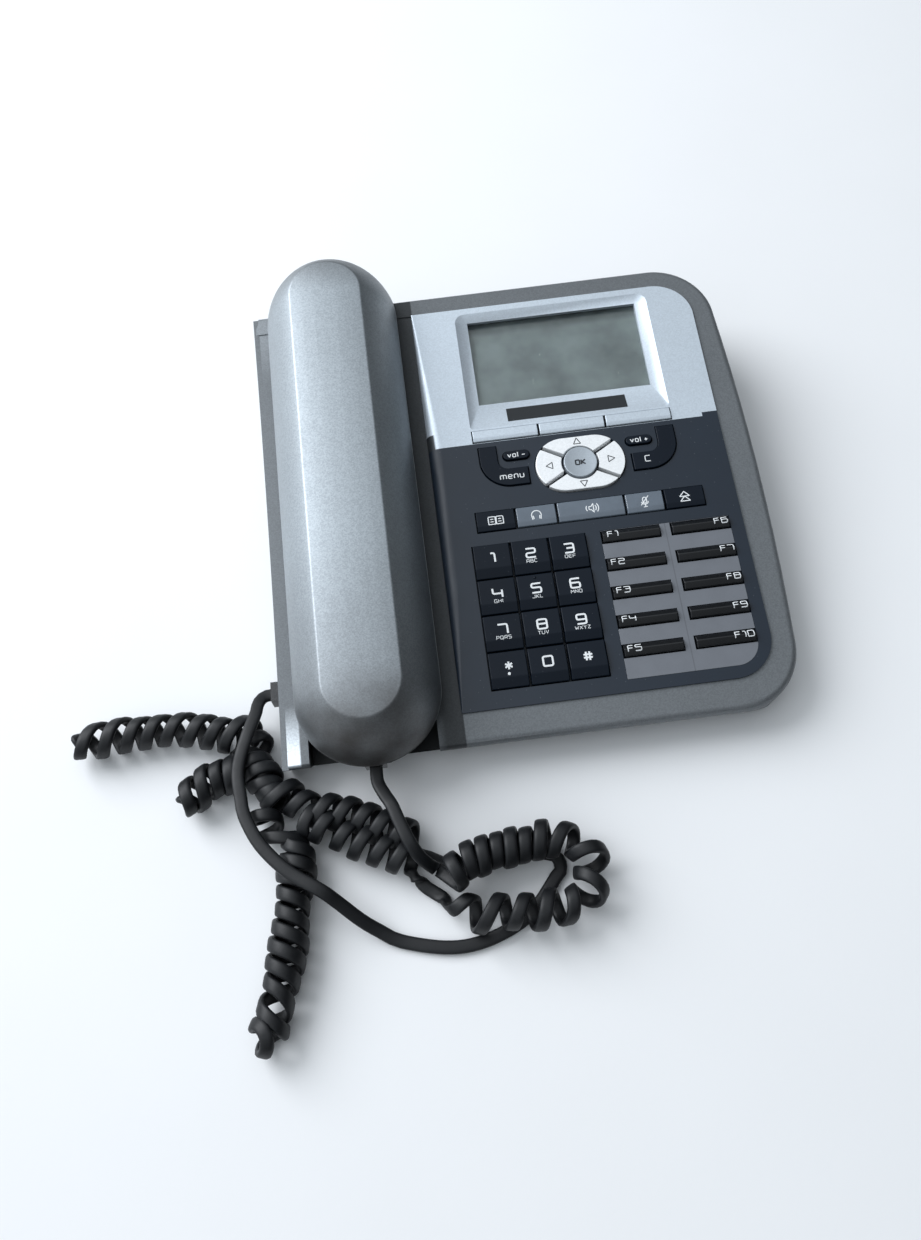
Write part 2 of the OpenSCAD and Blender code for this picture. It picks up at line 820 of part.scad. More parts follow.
post_r = 2.4;
post_inset = 7.2;
post_at = [for (u = [fascia_l + post_inset, fascia_r - post_inset])
    for (v = [fascia_f + post_inset, fascia_b - post_inset]) [u, v]];

module keypad_fascia() {
    color([0.14, 0.17, 0.22]) on_face() {
        difference() {
            fascia_blank(false);
            layer(-label_t, far / 4) label_plan(0.1);
            for (i = [0 : 11]) translate(dial_at(i)) bar_opening(dial_size);
            for (i = [0 : 9]) translate(f_at(i)) bar_opening(f_size);
            for (i = [0 : 4]) translate(row_at(i)) bar_opening(row_size(i));
            for (s = [-1, 1]) {
                volume_opening(s);
                ell_opening(s);
            }
            nav_openings();
        }
        for (i = [0, 2]) translate(post_at[i]) layer(board_top, web_bottom + eps) circle(post_r);
    }
}

// Sloping sides of the display's recess, from the face down to the window
module recess_waste() {
    hull() {
        for (s = [-1, 1]) {
            translate([recess_u + s * (recess_w / 2 - recess_r), recess_v + recess_d - recess_r, eps])
                cylinder(r = recess_r, h = eps, $fn = 32);
            translate([recess_u + s * (recess_w / 2 - recess_front_r), recess_v + recess_front_r, eps])
                cylinder(r = recess_front_r, h = eps, $fn = 24);
        }
        translate([window_u - window_w / 2, window_v, -recess_depth]) cube([window_w, window_d, eps]);
    }
}

module window_plan(grow) {
    translate([window_u - window_w / 2 - grow, window_v - grow])
        square([window_w + 2 * grow, window_d + 2 * grow]);
}

module display_fascia() {
    color("lightsteelblue") on_face() {
        difference() {
            fascia_blank(true);
            recess_waste();
            layer(-far / 4, 0) window_plan(0);
            for (i = [0 : 2]) translate(soft_at(i)) bar_opening(soft_size);
        }
        for (i = [1, 3]) translate(post_at[i]) layer(board_top, web_bottom + eps) circle(post_r);
    }
}

module display_window() {
    color([0.45, 0.48, 0.46]) on_face() layer(web_bottom - window_t, web_bottom) window_plan(window_rest);
}

module lcd_module() {
    color([0.4, 0.45, 0.42]) on_face() layer(board_top, web_bottom - window_t) window_plan(window_rest + 1);
}

module circuit_board() {
    color("darkgreen") on_face() layer(board_top - board_t, board_top)
        translate([fascia_l + 4.4, fascia_f + 4.4]) square([fascia_w - 8.8, fascia_d - 8.8]);
}

mat_margin = 1.2;
mat_left = dial_u - mat_margin;
mat_right = fascia_r - post_inset - post_r - mat_margin / 2;
mat_front = dial_v - mat_margin;
mat_rear = soft_v + soft_d;

module dome_mat() {
    color("gainsboro") on_face() {
        layer(board_top, mat_top) translate([mat_left, mat_front])
            square([mat_right - mat_left, mat_rear - mat_front]);
        layer(mat_top - eps, dome_top) {
            for (i = [0 : 11]) translate(dial_at(i)) circle(3);
            for (i = [0 : 9]) translate(f_at(i)) circle(1.8);
            for (i = [0 : 4]) translate(row_at(i)) circle(2.5);
            for (i = [0 : 2]) translate(soft_at(i)) circle(1.8);
            for (s = [-1, 1]) translate(vol_at(s)) circle(1.4);
            translate([nav_u, nav_v]) {
                for (s = [-1, 1]) translate([s * (ell_out - ell_arm), ell_foot / 2 - ell_low]) circle(2);
                for (k = [0, 2]) rotate(90 * k) translate([(nav_w / 2 + ok_r) / 2, 0]) circle(1.6);
                for (k = [1, 3]) rotate(90 * k) translate([(nav_d / 2 + ok_r) / 2, 0]) circle(1.6);
                circle(2.5);
            }
        }
    }
}

module hook_plunger() {
    color("black") on_face() {
        layer(cradle_under - hook_travel - 3, grip_w - 0.3) hook_slot(0);
        layer(cradle_under - hook_travel - 3, cradle_under - hook_travel - 0.5) hook_slot(1.5);
    }
}

// Handset

half_w = handset_w / 2;
straight_l = handset_l - handset_w;
facet_edge = [facet_w / 2, handset_top - facet_drop];
side_foot = [half_w, part_w];
side_chord = norm(facet_edge - side_foot);
side_out = [facet_edge[1] - side_foot[1], side_foot[0] - facet_edge[0]] / side_chord;
side_centre = (facet_edge + side_foot) / 2 - side_out * sqrt(pow(side_r, 2) - pow(side_chord / 2, 2));
crown_r = (pow(facet_w / 2, 2) + pow(facet_drop, 2)) / (2 * facet_drop);

module back_profile(inset) {
    intersection() {
        translate([0, part_w]) square([half_w - inset, handset_top - part_w - inset]);
        translate(side_centre) circle(side_r - inset, $fn = 180);
        translate([0, handset_top - crown_r]) circle(crown_r - inset, $fn = fine);
    }
}

front_round = part_w - grip_w;

module front_profile(inset) {
    intersection() {
        translate([0, grip_w + inset]) square([half_w, part_w - grip_w - inset]);
        union() {
            square([half_w - front_round - inset / 2, far], center = false);
            translate([half_w - front_round, part_w]) circle(front_round - inset / 2);
        }
    }
}

// Sweeps a half profile along the handset and round both of its ends
module handset_sweep() {
    rotate([90, 0, 0]) linear_extrude(height = straight_l, center = true) {
        children();
        mirror([1, 0]) children();
    }
    for (s = [0, 1]) rotate([0, 0, 180 * s]) translate([0, straight_l / 2, 0])
        rotate_extrude(angle = 180, $fn = 120) children();
}

module in_handset() {
    on_face() translate([handset_u, handset_v, 0]) children();
}

module handset_back() {
    color("silver") in_handset() difference() {
        handset_sweep() back_profile(0);
        translate([0, 0, -eps]) handset_sweep() back_profile(handset_wall);
    }
}

ear_at = ear_v - handset_v;
mouth_at = mouth_v - handset_v;

module cup_profile(inset, high) {
    r = cup_r - inset;
    low = -cup_depth + inset;
    polygon(concat([[0, low]],
        [for (a = [0 : 22.5 : 90]) [r - cup_round * (1 - sin(a)), low + cup_round * (1 - cos(a))]],
        [[r, high], [0, high]]));
}

// Socket for the cord's plug in the chin below the handset's front end
chin_v = -handset_l / 2 + 3;
chin_w = -plug_h / 2 - plug_clear;
chin_wall = 1.6;

module chin(grow, length) {
    translate([-plug_w / 2 - grow, chin_v - (grow > 1 ? 0 : 1), chin_w - plug_h / 2 - grow])
        cube([plug_w + 2 * grow, length + (grow > 1 ? 0 : 1), plug_h + 2 * grow]);
}

module handset_front() {
    color("silver") in_handset() difference() {
        union() {
            handset_sweep() front_profile(0);
            for (v = [ear_at, mouth_at]) translate([0, v, 0]) rotate_extrude() cup_profile(0, part_w - 1);
            chin(chin_wall, mouth_at - chin_v);
        }
        translate([0, 0, 1.4]) handset_sweep() front_profile(handset_wall);
        for (v = [ear_at, mouth_at]) difference() {
            translate([0, v, 0]) rotate_extrude() cup_profile(handset_wall, far / 4);
            chin(chin_wall, plug_l);
        }
        chin(plug_clear, plug_l - 2);
        for (a = [0 : 60 : 300]) translate([0, ear_at, 0]) rotate(a)
            translate([6, 0, -far / 4]) cylinder(r = 1, h = far / 4);
        for (u = [-4, 0, 4]) translate([u, mouth_at, -far / 4]) cylinder(r = 1, h = far / 4);
    }
}

module capsule(v, r, h) {
    in_handset() translate([0, v, -cup_depth + handset_wall]) {
        cylinder(r = r, h = h * 0.6);
        cylinder(r = r * 0.8, h = h);
    }
}

module receiver_capsule() {
    color("goldenrod") capsule(ear_at, receiver_r, receiver_h);
}

module microphone_capsule() {
    color("goldenrod") capsule(mouth_at, mic_r, mic_h);
}

// Cord

module handset_plug() {
    color([0.12, 0.12, 0.13]) in_handset() translate([-plug_w / 2, chin_v - 2, chin_w - plug_h / 2])
        cube([plug_w, plug_l, plug_h]);
}

module base_plug() {
    color([0.12, 0.12, 0.13])
        translate([-base_w / 2 + socket_depth - plug_l, socket_y - plug_w / 2, socket_z - plug_h / 2])
            cube([plug_l, plug_w, plug_h]);
}

function unit(v) = v / norm(v);
function mix(a, b, t) = a + (b - a) * t;
function spline(a, b, c, d, t) =
    b + t / 2 * (c - a + t * (2 * a - 5 * b + 4 * c - d + t * (3 * (b - c) + d - a)));

// Sections of the flat cord, as [across, out] points
function flat_section(w, t, c) = [[w, t - c], [w - c, t], [c - w, t], [-w, t - c],
                                  [-w, c - t], [c - w, -t], [w - c, -t], [w, c - t]];
lead_section = flat_section(cord_w / 2, cord_t / 2, 0.6);
coil_section = [for (s = [1, -1]) each s * [[cord_w / 2, 0], [cord_w / 2 - 0.9, cord_t / 2],
                                            [0.9 - cord_w / 2, cord_t / 2]]];

// One ring of points round a centre, flat towards a given side
function ring_at(centre, along, side, section) = let (
        out = unit(side - (side * along) * along),
        across = cross(along, out))
    [for (p = section) centre + p[0] * across + p[1] * out];

// Direction of a path at one of its points
function along_at(path, i) = unit(path[min(i + 1, len(path) - 1)] - path[max(i - 1, 0)]);

module tube(rings) {
    n = len(rings[0]);
    last = n * (len(rings) - 1);
    polyhedron(points = [for (r = rings) each r], faces = concat(
        [for (k = [1 : n - 2]) [0, k + 1, k]],
        [for (k = [1 : n - 2]) [last, last + k, last + k + 1]],
        [for (i = [0 : n : last - 1], k = [0 : n - 1]) [i + k, i + (k + 1) % n, i + n + k]],
        [for (i = [0 : n : last - 1], k = [0 : n - 1]) [i + n + k, i + (k + 1) % n, i + n + (k + 1) % n]]));
}

module lead(path) {
    tube([for (i = [0 : len(path) - 1]) ring_at(path[i], along_at(path, i), [0, 0, 1], lead_section)]);
}

// Points of the cord are counted from the base's front left corner on the table
cord_corner = [-base_w / 2, face_y - base_d / 2 * cos(face_tilt), 0];

// Curly part: an axis with stations of x, y, z, heading, curls from the station before and share of
// the radius. Along its arms the cord runs out and back on one axis, half a curl apart.
coil_r = (coil_d - cord_t) / 2;
coil_z = coil_d / 2 + 0.3;
coil_start = 0.8;
coil_rings = 8;
coil_stub = cord_w + 0.4;

// Points of an arm: x, y, heading, curls from the point before
trunk = [[43, -32, -209, 1], [32, -26, -209, 1.1], [21, -20, -209, 1.1], [10, -14, -209, 1.05]];
lower_arm = [[3, -28, -90, 0], [2, -39, -92, 1], [0, -51, -97, 1], [-2, -63, -101, 1],
             [-5, -75, -106, 1], [-9, -87, -108, 0.75]];
side_trunk = [[-5, -6, -241, 1], [-11, 6, -243, 1]];
small_arm = [[-26, 3, -147, 0], [-38, -5, -147, 0.75]];
left_arm = [[-22, 20, -195, 0], [-34, 23, -188, 1], [-46, 25, -184, 1], [-58, 25, -180, 1],
            [-70, 24, -177, 1], [-83, 23, -176, 0.75]];

function arm_out(arm) = [for (p = arm) [p[0], p[1], coil_z, p[2], p[3], 1]];
function arm_tip(arm) = let (p = arm[len(arm) - 1]) [[p[0], p[1], coil_z, p[2] - 180, 0.5, 1]];
function arm_back(arm) = [for (i = [len(arm) - 2 : -1 : 0])
    [arm[i][0], arm[i][1], coil_z, arm[i][2] - 180, arm[i + 1][3], 1]];
function arm_both(arm) = concat(arm_out(arm), arm_tip(arm), arm_back(arm));

coil_axis = concat(
    [[57, -45, 14, 40, 0, 1], [63, -41, 12.5, 20, 1.2, 1], [73, -38, 10.6, 8, 2, 1],
     [84, -37, 10, 4, 2.2, 1], [94, -36, 10, -5, 1.8, 1], [103, -39, 10, -45, 0.9, 1],
     [107, -48, 10, -90, 0.9, 1], [103, -57, 10, -135, 0.9, 1], [94, -60, 10, -180, 0.9, 1],
     [83, -60, 10, -188, 1.25, 1], [72, -59, 9, -196, 1.2, 1], [61, -57, 7.5, -205, 1, 1],
     [53, -50, 2, -222, 0.7, 0.05], [46, -44, 2, -228, 0, 0.05]],
    arm_out(trunk), arm_both(lower_arm),
    [[-8, -19, coil_z, -264, 1, 1]],
    arm_out(side_trunk), arm_both(small_arm), arm_both(left_arm),
    [[-10, 19, coil_z, -400, 1, 1], [-11, 6, coil_z, -423, 1, 1], [-5, -6, coil_z, -421, 1, 1],
     [2, -8, coil_z, -400, 0, 1], [10, -14, coil_z, -389, 1, 1]],
    arm_back(trunk),
    [[52, -36, 1.6, -389, 0, 0.05], [59, -39, 1.5, -380, 0, 0]]);
coil_last = len(coil_axis) - 1;
coil_turns = [for (i = 0, t = coil_start; i <= coil_last;
                   i = i + 1, t = t + coil_axis[min(i, coil_last)][4]) t];

function axis_point(i) = let (p = coil_axis[max(0, min(coil_last, i))]) cord_corner + [p[0], p[1], p[2]];
function axis_value(i, t, k) = mix(coil_axis[i][k], coil_axis[i + 1][k], t);

// Centre of the strap and its outward side, a share t of the way from station i to the next
function strap_at(i, t) = let (
        heading = axis_value(i, t, 3),
        turn = 360 * mix(coil_turns[i], coil_turns[i + 1], t),
        side = [sin(heading) * cos(turn), -cos(heading) * cos(turn), sin(turn)],
        r = coil_r * axis_value(i, t * t * (3 - 2 * t), 5),
        p = spline(axis_point(i - 1), axis_point(i), axis_point(i + 1), axis_point(i + 2), t))
    [p + r * side, side];

function steps_of(i) = max(1, round(max(coil_rings * coil_axis[i + 1][4],
                                        norm(axis_point(i + 1) - axis_point(i)) / (2 * cord_w))));
coil_strap = concat(
    [for (i = [0 : coil_last - 1]) let (n = steps_of(i)) for (j = [0 : n - 1]) strap_at(i, j / n)],
    [strap_at(coil_last - 1, 1)]);
coil_path = [for (s = coil_strap) s[0]];
coil_in = unit(coil_path[1] - coil_path[0]);
coil_inlet = coil_path[0] - coil_stub * coil_in;
coil_outlet = coil_path[len(coil_path) - 1];
coil_tube = concat(
    [ring_at(coil_inlet, coil_in, coil_strap[0][1], coil_section)],
    [for (i = [0 : len(coil_path) - 1])
        ring_at(coil_path[i], along_at(coil_path, i), coil_strap[i][1], coil_section)]);

// Least distance between points of the strap that lie more than half a curl apart
function coil_gap() = let (last = len(coil_path) - 1) min([
    for (i = [0 : last - 6], j = [i + 6 : last])
        if (norm(coil_path[i] - coil_path[j]) < 1.6 * cord_w)
            for (a = coil_tube[i + 1], b = coil_tube[j + 1]) norm(a - b)]);

module curly_coil() {
    echo(least_gap_of_coil = coil_gap());
    color([0.12, 0.12, 0.13]) tube(coil_tube);
}

// Straight parts of the cord, as hand-laid points
function in_face(p) = [p[0], face_y + p[1] * cos(face_tilt) - p[2] * sin(face_tilt),
                       face_z + p[1] * sin(face_tilt) + p[2] * cos(face_tilt)];
lead_gap = 0.1;
handset_exit = in_face([handset_u, handset_v + chin_v - 2 - lead_gap, chin_w]);
handset_route = [[34.5, -8, 13.2], [36.5, -13, 14.2], [39, -18, 15.8], [41, -24, 16.4], [44, -32, 16.2],
                 [47, -37, 13], [50, -39.5, 9]];

module handset_lead() {
    color([0.12, 0.12, 0.13]) lead(concat(
        [handset_exit],
        [for (p = handset_route) cord_corner + p],
        [coil_inlet - cord_w * coil_in, coil_inlet]));
}

base_exit = [-base_w / 2 + socket_depth - plug_l, socket_y, socket_z];
base_route = [[66, -39, 1.5], [80, -38, 1.5], [92, -39, 1.5], [98, -43, 1.5], [94, -48, 1.5], [86, -57, 1.5],
              [77, -63, 1.5], [64, -67, 1.5], [52, -67, 1.5], [37, -63, 1.5], [30, -59, 3.5], [24, -55, 7],
              [17, -49, 12], [12, -45, 15.6], [2, -38, 16], [-5, -31, 16], [-10, -24, 16], [-14, -15, 16],
              [-15, -9, 16], [-16, 0, 16], [-15, 7, 16], [-12, 16, 16], [-9, 25, 14]];

module base_lead() {
    color([0.12, 0.12, 0.13]) lead(concat(
        [coil_outlet],
        [for (p = base_route) cord_corner + p],
        [base_exit - [cord_w, 0, 0], base_exit]));
}

lower_shell();
upper_housing();
display_fascia();
keypad_fascia();
display_window();
lcd_module();
circuit_board();
dome_mat();
label_cover();
rubber_feet();
loudspeaker();
hook_plunger();
handset_back();
handset_front();
receiver_capsule();
microphone_capsule();
handset_plug();
handset_lead();
curly_coil();
base_lead();
base_plug();
for (i = [0 : 2]) soft_key(i);
for (k = [0 : 3]) nav_key(k);
ok_key();
volume_key(-1);  // volume_down
volume_key(1);  // volume_up
ell_key(-1);  // menu_key
ell_key(1);  // clear_key
for (i = [0 : 4]) row_key(i);
for (i = [0 : 11]) dial_key(i);
for (i = [0 : 9]) f_key(i);
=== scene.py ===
"""Looks of a corded desk telephone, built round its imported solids.

Everything is in metres in the frame of the solids: X to the right, Y away from the user, Z up.
The sloping face has its own frame: u to the right, v away from the user and w out of the face.
"""

import json
import math

import bmesh
import bpy
from bpy.props import FloatProperty, FloatVectorProperty, IntProperty, PointerProperty
from mathutils import Matrix, Vector
from mathutils.bvhtree import BVHTree

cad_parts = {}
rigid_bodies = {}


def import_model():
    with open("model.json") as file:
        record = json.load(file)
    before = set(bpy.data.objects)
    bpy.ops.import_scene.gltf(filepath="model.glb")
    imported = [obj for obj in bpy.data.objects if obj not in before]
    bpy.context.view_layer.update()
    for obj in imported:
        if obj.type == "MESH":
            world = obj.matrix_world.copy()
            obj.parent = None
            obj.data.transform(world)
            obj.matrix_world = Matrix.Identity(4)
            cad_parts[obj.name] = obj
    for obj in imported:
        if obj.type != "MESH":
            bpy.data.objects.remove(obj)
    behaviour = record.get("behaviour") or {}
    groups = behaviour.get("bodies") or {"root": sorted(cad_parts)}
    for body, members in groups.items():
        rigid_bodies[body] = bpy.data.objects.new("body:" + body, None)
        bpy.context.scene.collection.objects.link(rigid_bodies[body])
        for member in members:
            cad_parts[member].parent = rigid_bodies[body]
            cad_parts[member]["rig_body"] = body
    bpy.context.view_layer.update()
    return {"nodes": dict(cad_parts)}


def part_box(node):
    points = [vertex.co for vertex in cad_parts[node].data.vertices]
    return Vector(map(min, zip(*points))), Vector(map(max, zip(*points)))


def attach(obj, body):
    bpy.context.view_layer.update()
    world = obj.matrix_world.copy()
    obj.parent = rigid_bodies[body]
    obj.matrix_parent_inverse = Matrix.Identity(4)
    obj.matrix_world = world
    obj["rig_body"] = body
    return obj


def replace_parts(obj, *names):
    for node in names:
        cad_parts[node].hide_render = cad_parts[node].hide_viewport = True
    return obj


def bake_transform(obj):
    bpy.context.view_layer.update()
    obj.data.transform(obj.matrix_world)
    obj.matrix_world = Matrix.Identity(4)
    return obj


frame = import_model()
NODES = frame["nodes"]
MM = 0.001

bl_info = {
    "name": "Corded desk telephone",
    "version": (1, 0, 0),
    "blender": (4, 5, 0),
    "location": "3D View > Sidebar > Telephone",
    "description": "Finishes, cord, legends and stage of a corded desk telephone",
    "category": "Object",
}

# The face frame of the solids: its slope and the place of its origin
FACE = Matrix.Translation((0, -5.93838 * MM, 29.8561 * MM)) @ Matrix.Rotation(math.radians(7), 4, "X")
FACE_BACK = FACE.inverted()

# Places in the face frame: the handset's middle line, half of a well's width and its floor, the end of the
# channel right of the handset's middle, the ledge's right edge, the right end of the fascias' roll, the rear
# end of the soft keys' slots and the foot of the display recess's slopes
HANDSET_U = -65 * MM
WELL_HALF = 24.4 * MM
WELL_FLOOR = -10.7 * MM
CHANNEL_END = 34.2 * MM
LEDGE_U = -91.8 * MM
ROLL_U = -24.5 * MM
SLOTS_REAR = 30.6 * MM
RECESS_FLOOR = -3.2 * MM

DIAL_KEYS = ["key_1", "key_2", "key_3", "key_4", "key_5", "key_6",
             "key_7", "key_8", "key_9", "key_star", "key_0", "key_hash"]
F_KEYS = [f"f_key_{i}" for i in range(1, 11)]
SMOKE_KEYS = ["headset_key", "speaker_key", "mute_key"]
NAVY_KEYS = ["phonebook_key", "shift_key", "volume_down", "volume_up", "menu_key", "clear_key"]
RING_KEYS = ["nav_right", "nav_up", "nav_left", "nav_down"]
SOFT_KEYS = ["soft_key_left", "soft_key_middle", "soft_key_right"]

# Like keys with their finish, their material slot and their share of the keys' rounding
KEY_GROUPS = [(DIAL_KEYS, "key", "navy_keys", 1), (NAVY_KEYS, "key", "navy_keys", 0.8),
              (SMOKE_KEYS, "smoke", "smoke_keys", 1.5), (F_KEYS, "gloss", "gloss_keys", 1),
              (RING_KEYS, "ring", "silver_keys", 1), (["ok_key"], "button", "silver_keys", 1),
              (SOFT_KEYS, "silver", "silver_keys", 0.8)]


def srgb(text):
    """Linear colour of an sRGB hex value."""
    parts = [int(text[i:i + 2], 16) / 255 for i in (0, 2, 4)]
    return [c / 12.92 if c <= 0.04045 else ((c + 0.055) / 1.055) ** 2.4 for c in parts] + [1.0]


def colour(name, description, text):
    return FloatVectorProperty(name=name, description=description, subtype="COLOR", size=4,
                               min=0, max=1, default=srgb(text))


def length(name, description, default):
    return FloatProperty(name=name, description=description, default=default, min=0, unit="LENGTH")


class TelephoneSizes(bpy.types.PropertyGroup):
    cord_width: length("Cord width", "Width of the flat cord", 4.8 * MM)
    cord_thickness: length("Cord thickness", "Thickness of the flat cord", 2.4 * MM)
    curl_diameter: length("Curl diameter", "Outer diameter of the cord's curls", 13.6 * MM)
    curl_rings: IntProperty(name="Rings in a curl", description="Cross sections in one curl",
                            default=22, min=8)
    key_gap: length("Key gap", "How far a key's sides are drawn in", 0.22 * MM)
    key_edge: length("Key edge", "Rounding of the keys' edges", 0.35 * MM)
    case_edge: length("Case edge", "Rounding of the case's edges", 0.5 * MM)
    digit_height: length("Digit height", "Height of the digits on the dial keys", 3.8 * MM)
    digit_stroke: length("Digit stroke", "Width of a digit's stroke", 0.72 * MM)
    letter_height: length("Letter height", "Height of the letters under the digits", 1.3 * MM)
    print_height: length("Print height", "How far the ink stands above a key", 0.05 * MM)
    screw_head: length("Screw head", "Diameter of the case screws' heads", 5.6 * MM)


class TelephoneColours(bpy.types.PropertyGroup):
    handset: colour("Handset", "Silver paint of the handset", "9DA4A9")
    housing: colour("Housing", "Grey paint of the base", "6E7275")
    silver: colour("Silver fascia", "Paint round the display", "CCD6DF")
    navy: colour("Keypad fascia", "Plastic round the keys", "0F1D2B")
    key: colour("Keys", "Plastic of the dial keys", "06111D")
    ring: colour("Ring keys", "Paint of the navigation keys", "F4F6F7")
    button: colour("Middle button", "Paint of the key in the ring's middle", "ACB4BB")
    smoke: colour("Smoke keys", "Translucent plastic of the row's middle keys", "626D79")
    gloss: colour("Function keys", "Gloss plastic of the function keys", "0E1013")
    card: colour("Label card", "Card behind the label cover", "686C73")
    liquid: colour("Liquid crystal", "Display behind the window", "A2A8AA")
    ink: colour("Ink", "Print on the keys", "E6E9EA")
    jacket: colour("Cord jacket", "Plastic of the cord", "101215")
    floor: colour("Floor", "Pale table top", "ECEDEE")


# Small helpers for nodes and meshes

def add(tree, kind, inputs=(), **settings):
    """Adds a node with its settings, and sets or links its inputs, which come by name or in their order."""
    node = tree.nodes.new("ShaderNode" + kind)
    for name, value in settings.items():
        setattr(node, name, value)
    for name, value in inputs.items() if isinstance(inputs, dict) else enumerate(inputs):
        if isinstance(value, bpy.types.Node):
            value = value.outputs[0]
        if isinstance(value, bpy.types.NodeSocket):
            tree.links.new(value, node.inputs[name])
        else:
            node.inputs[name].default_value = value
    return node


def start(name):
    """A new material with an empty node tree, and the object coordinates in it."""
    material = bpy.data.materials.new(name)
    material.use_nodes = True
    material.node_tree.nodes.clear()
    return material, material.node_tree, add(material.node_tree, "TexCoord").outputs["Object"]


def shade(tree, inputs):
    """Ends a material with its surface."""
    add(tree, "OutputMaterial", {"Surface": add(tree, "BsdfPrincipled", inputs)})


def clouds(tree, place, size, low, high, detail=2.0, at=(0.0, 1.0), roughness=0.5):
    """A value between low and high, in soft clouds about size across; at is the noise's range for them."""
    noise = add(tree, "TexNoise", {"Vector": place, "Scale": 1 / size, "Detail": detail,
                                   "Roughness": roughness})
    return add(tree, "MapRange", (noise, *at, low, high))


def mottled(tree, place, tint, size, low, high, detail=2.0):
    """A tint that turns darker and lighter in soft clouds."""
    return add(tree, "HueSaturation", {"Color": tint, "Value": clouds(tree, place, size, low, high, detail)})


def relief(tree, place, size, strength, depth, detail=2.0):
    """A fine grain with lumps about size across, for a surface's normals."""
    noise = add(tree, "TexNoise", {"Vector": place, "Scale": 1 / size, "Detail": detail})
    return add(tree, "Bump", {"Height": noise, "Strength": strength, "Distance": depth})


def mesh_object(bm, name, material, sharp):
    """Makes an object of a bmesh, smooth up to an angle."""
    mesh = bpy.data.meshes.new(name)
    bm.to_mesh(mesh)
    bm.free()
    for polygon in mesh.polygons:
        polygon.use_smooth = True
    mesh.set_sharp_from_angle(angle=math.radians(sharp))
    mesh.materials.append(material)
    obj = bpy.data.objects.new(name, mesh)
    bpy.context.scene.collection.objects.link(obj)
    return obj


def piece(bm, name, material, body, sharp=30):
    """Makes a piece of a bmesh and lets it ride on a body."""
    obj = mesh_object(bm, name, material, sharp)
    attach(obj, body)
    return obj


def body_of(node):
    return NODES[node]["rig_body"]


def merged(node):
    """A copy of a solid's mesh with its triangles joined and its flat faces whole."""
    bm = bmesh.new()
    bm.from_mesh(NODES[node].data)
    bmesh.ops.remove_doubles(bm, verts=bm.verts, dist=0.004 * MM)
    bmesh.ops.dissolve_limit(bm, angle_limit=math.radians(0.3), verts=bm.verts, edges=bm.edges)
    return bm


def weigh_normals(mesh):
    """Lets large faces lead the shading, so that they stay flat up to their rounded edges."""
    normals = [Vector() for _ in mesh.vertices]
    for polygon in mesh.polygons:
        for index in polygon.vertices:
            normals[index] += polygon.normal * polygon.area
    mesh.normals_split_custom_set_from_vertices([n.normalized() for n in normals])


def rolled(edge):
    """Tells whether an edge lies on the fascias' rolled left side, which has no creases."""
    return all(v.co.x < ROLL_U for v in edge.verts) and all(f.normal.x < -0.05 for f in edge.link_faces)


def ease_rear_slope(bm):
    """Lifts the foot of the recess's rear slope, which is shallower than the slopes beside it."""
    edge = in_face("display_window")[1].y - 1.6 * MM
    for vert in bm.verts:
        place = FACE_BACK @ vert.co
        if place.y > edge and abs(place.z - RECESS_FLOOR) < 0.1 * MM:
            vert.co = FACE @ (place + Vector((0, -0.6, 1.3)) * MM)


def slim(bm, node, gap):
    """Draws a key's sides in, so that the line round it shows as dark as it is on the real one."""
    low, high = in_face(node)
    for vert in bm.verts:
        place = FACE_BACK @ vert.co
        for k in (0, 1):
            middle = (low[k] + high[k]) / 2
            place[k] = middle + (place[k] - middle) * (1 - 2 * gap / (high[k] - low[k]))
        vert.co = FACE @ place


def round_edges(bm, edges, width, segments=2, clamp=False):
    bmesh.ops.bevel(bm, geom=edges, offset=width, offset_type="OFFSET", affect="EDGES",
                    segments=segments, profile=0.5, clamp_overlap=clamp, material=-1)


def softened(node, width, material, sharp=35, segments=2, gap=0.0):
    """Stands for a solid with the same form whose edges and creases are rounded."""
    bm = merged(node)
    if node == "display_fascia":
        ease_rear_slope(bm)
    if gap:
        slim(bm, node, gap)
    bm.normal_update()
    edges = [e for e in bm.edges if e.is_manifold and e.calc_face_angle(0) > math.radians(sharp)
             and not (node.endswith("fascia") and rolled(e))]
    round_edges(bm, edges, width, segments, True)
    moulding = piece(bm, node + "_moulding", material, body_of(node), 180)
    weigh_normals(moulding.data)
    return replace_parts(moulding, node)


def in_face(node):
    """Lowest and highest corner of a solid in the face frame."""
    points = [FACE_BACK @ v.co for v in NODES[node].data.vertices]
    return (Vector(min(p[k] for p in points) for k in range(3)),
            Vector(max(p[k] for p in points) for k in range(3)))


def surface_of(node):
    """A search tree of a solid's triangles in the face frame."""
    mesh = NODES[node].data
    return BVHTree.FromPolygons([FACE_BACK @ v.co for v in mesh.vertices],
                                [p.vertices[:] for p in mesh.polygons])


def height_at(tree, u, v):
    """Height of a surface over a point of the face."""
    hit = tree.ray_cast(Vector((u, v, 30 * MM)), Vector((0, 0, -1)))[0]
    if hit is None:
        raise RuntimeError(f"nothing lies under the face's point {u}, {v}")
    return hit.z


def lay_on(bm, tree, lift):
    """Lays a flat mesh of the face frame on a surface and takes it to the frame of the solids."""
    for vert in bm.verts:
        vert.co.z += height_at(tree, vert.co.x, vert.co.y) + lift
    bmesh.ops.transform(bm, matrix=FACE, verts=bm.verts)


# Finishes

def face_axes(tree, place):
    """The face frame's u, v and w."""
    flat = add(tree, "Mapping", {"Vector": place, "Location": FACE.translation,
                                 "Rotation": FACE.to_euler()}, vector_type="TEXTURE")
    return add(tree, "SeparateXYZ", (flat,)).outputs


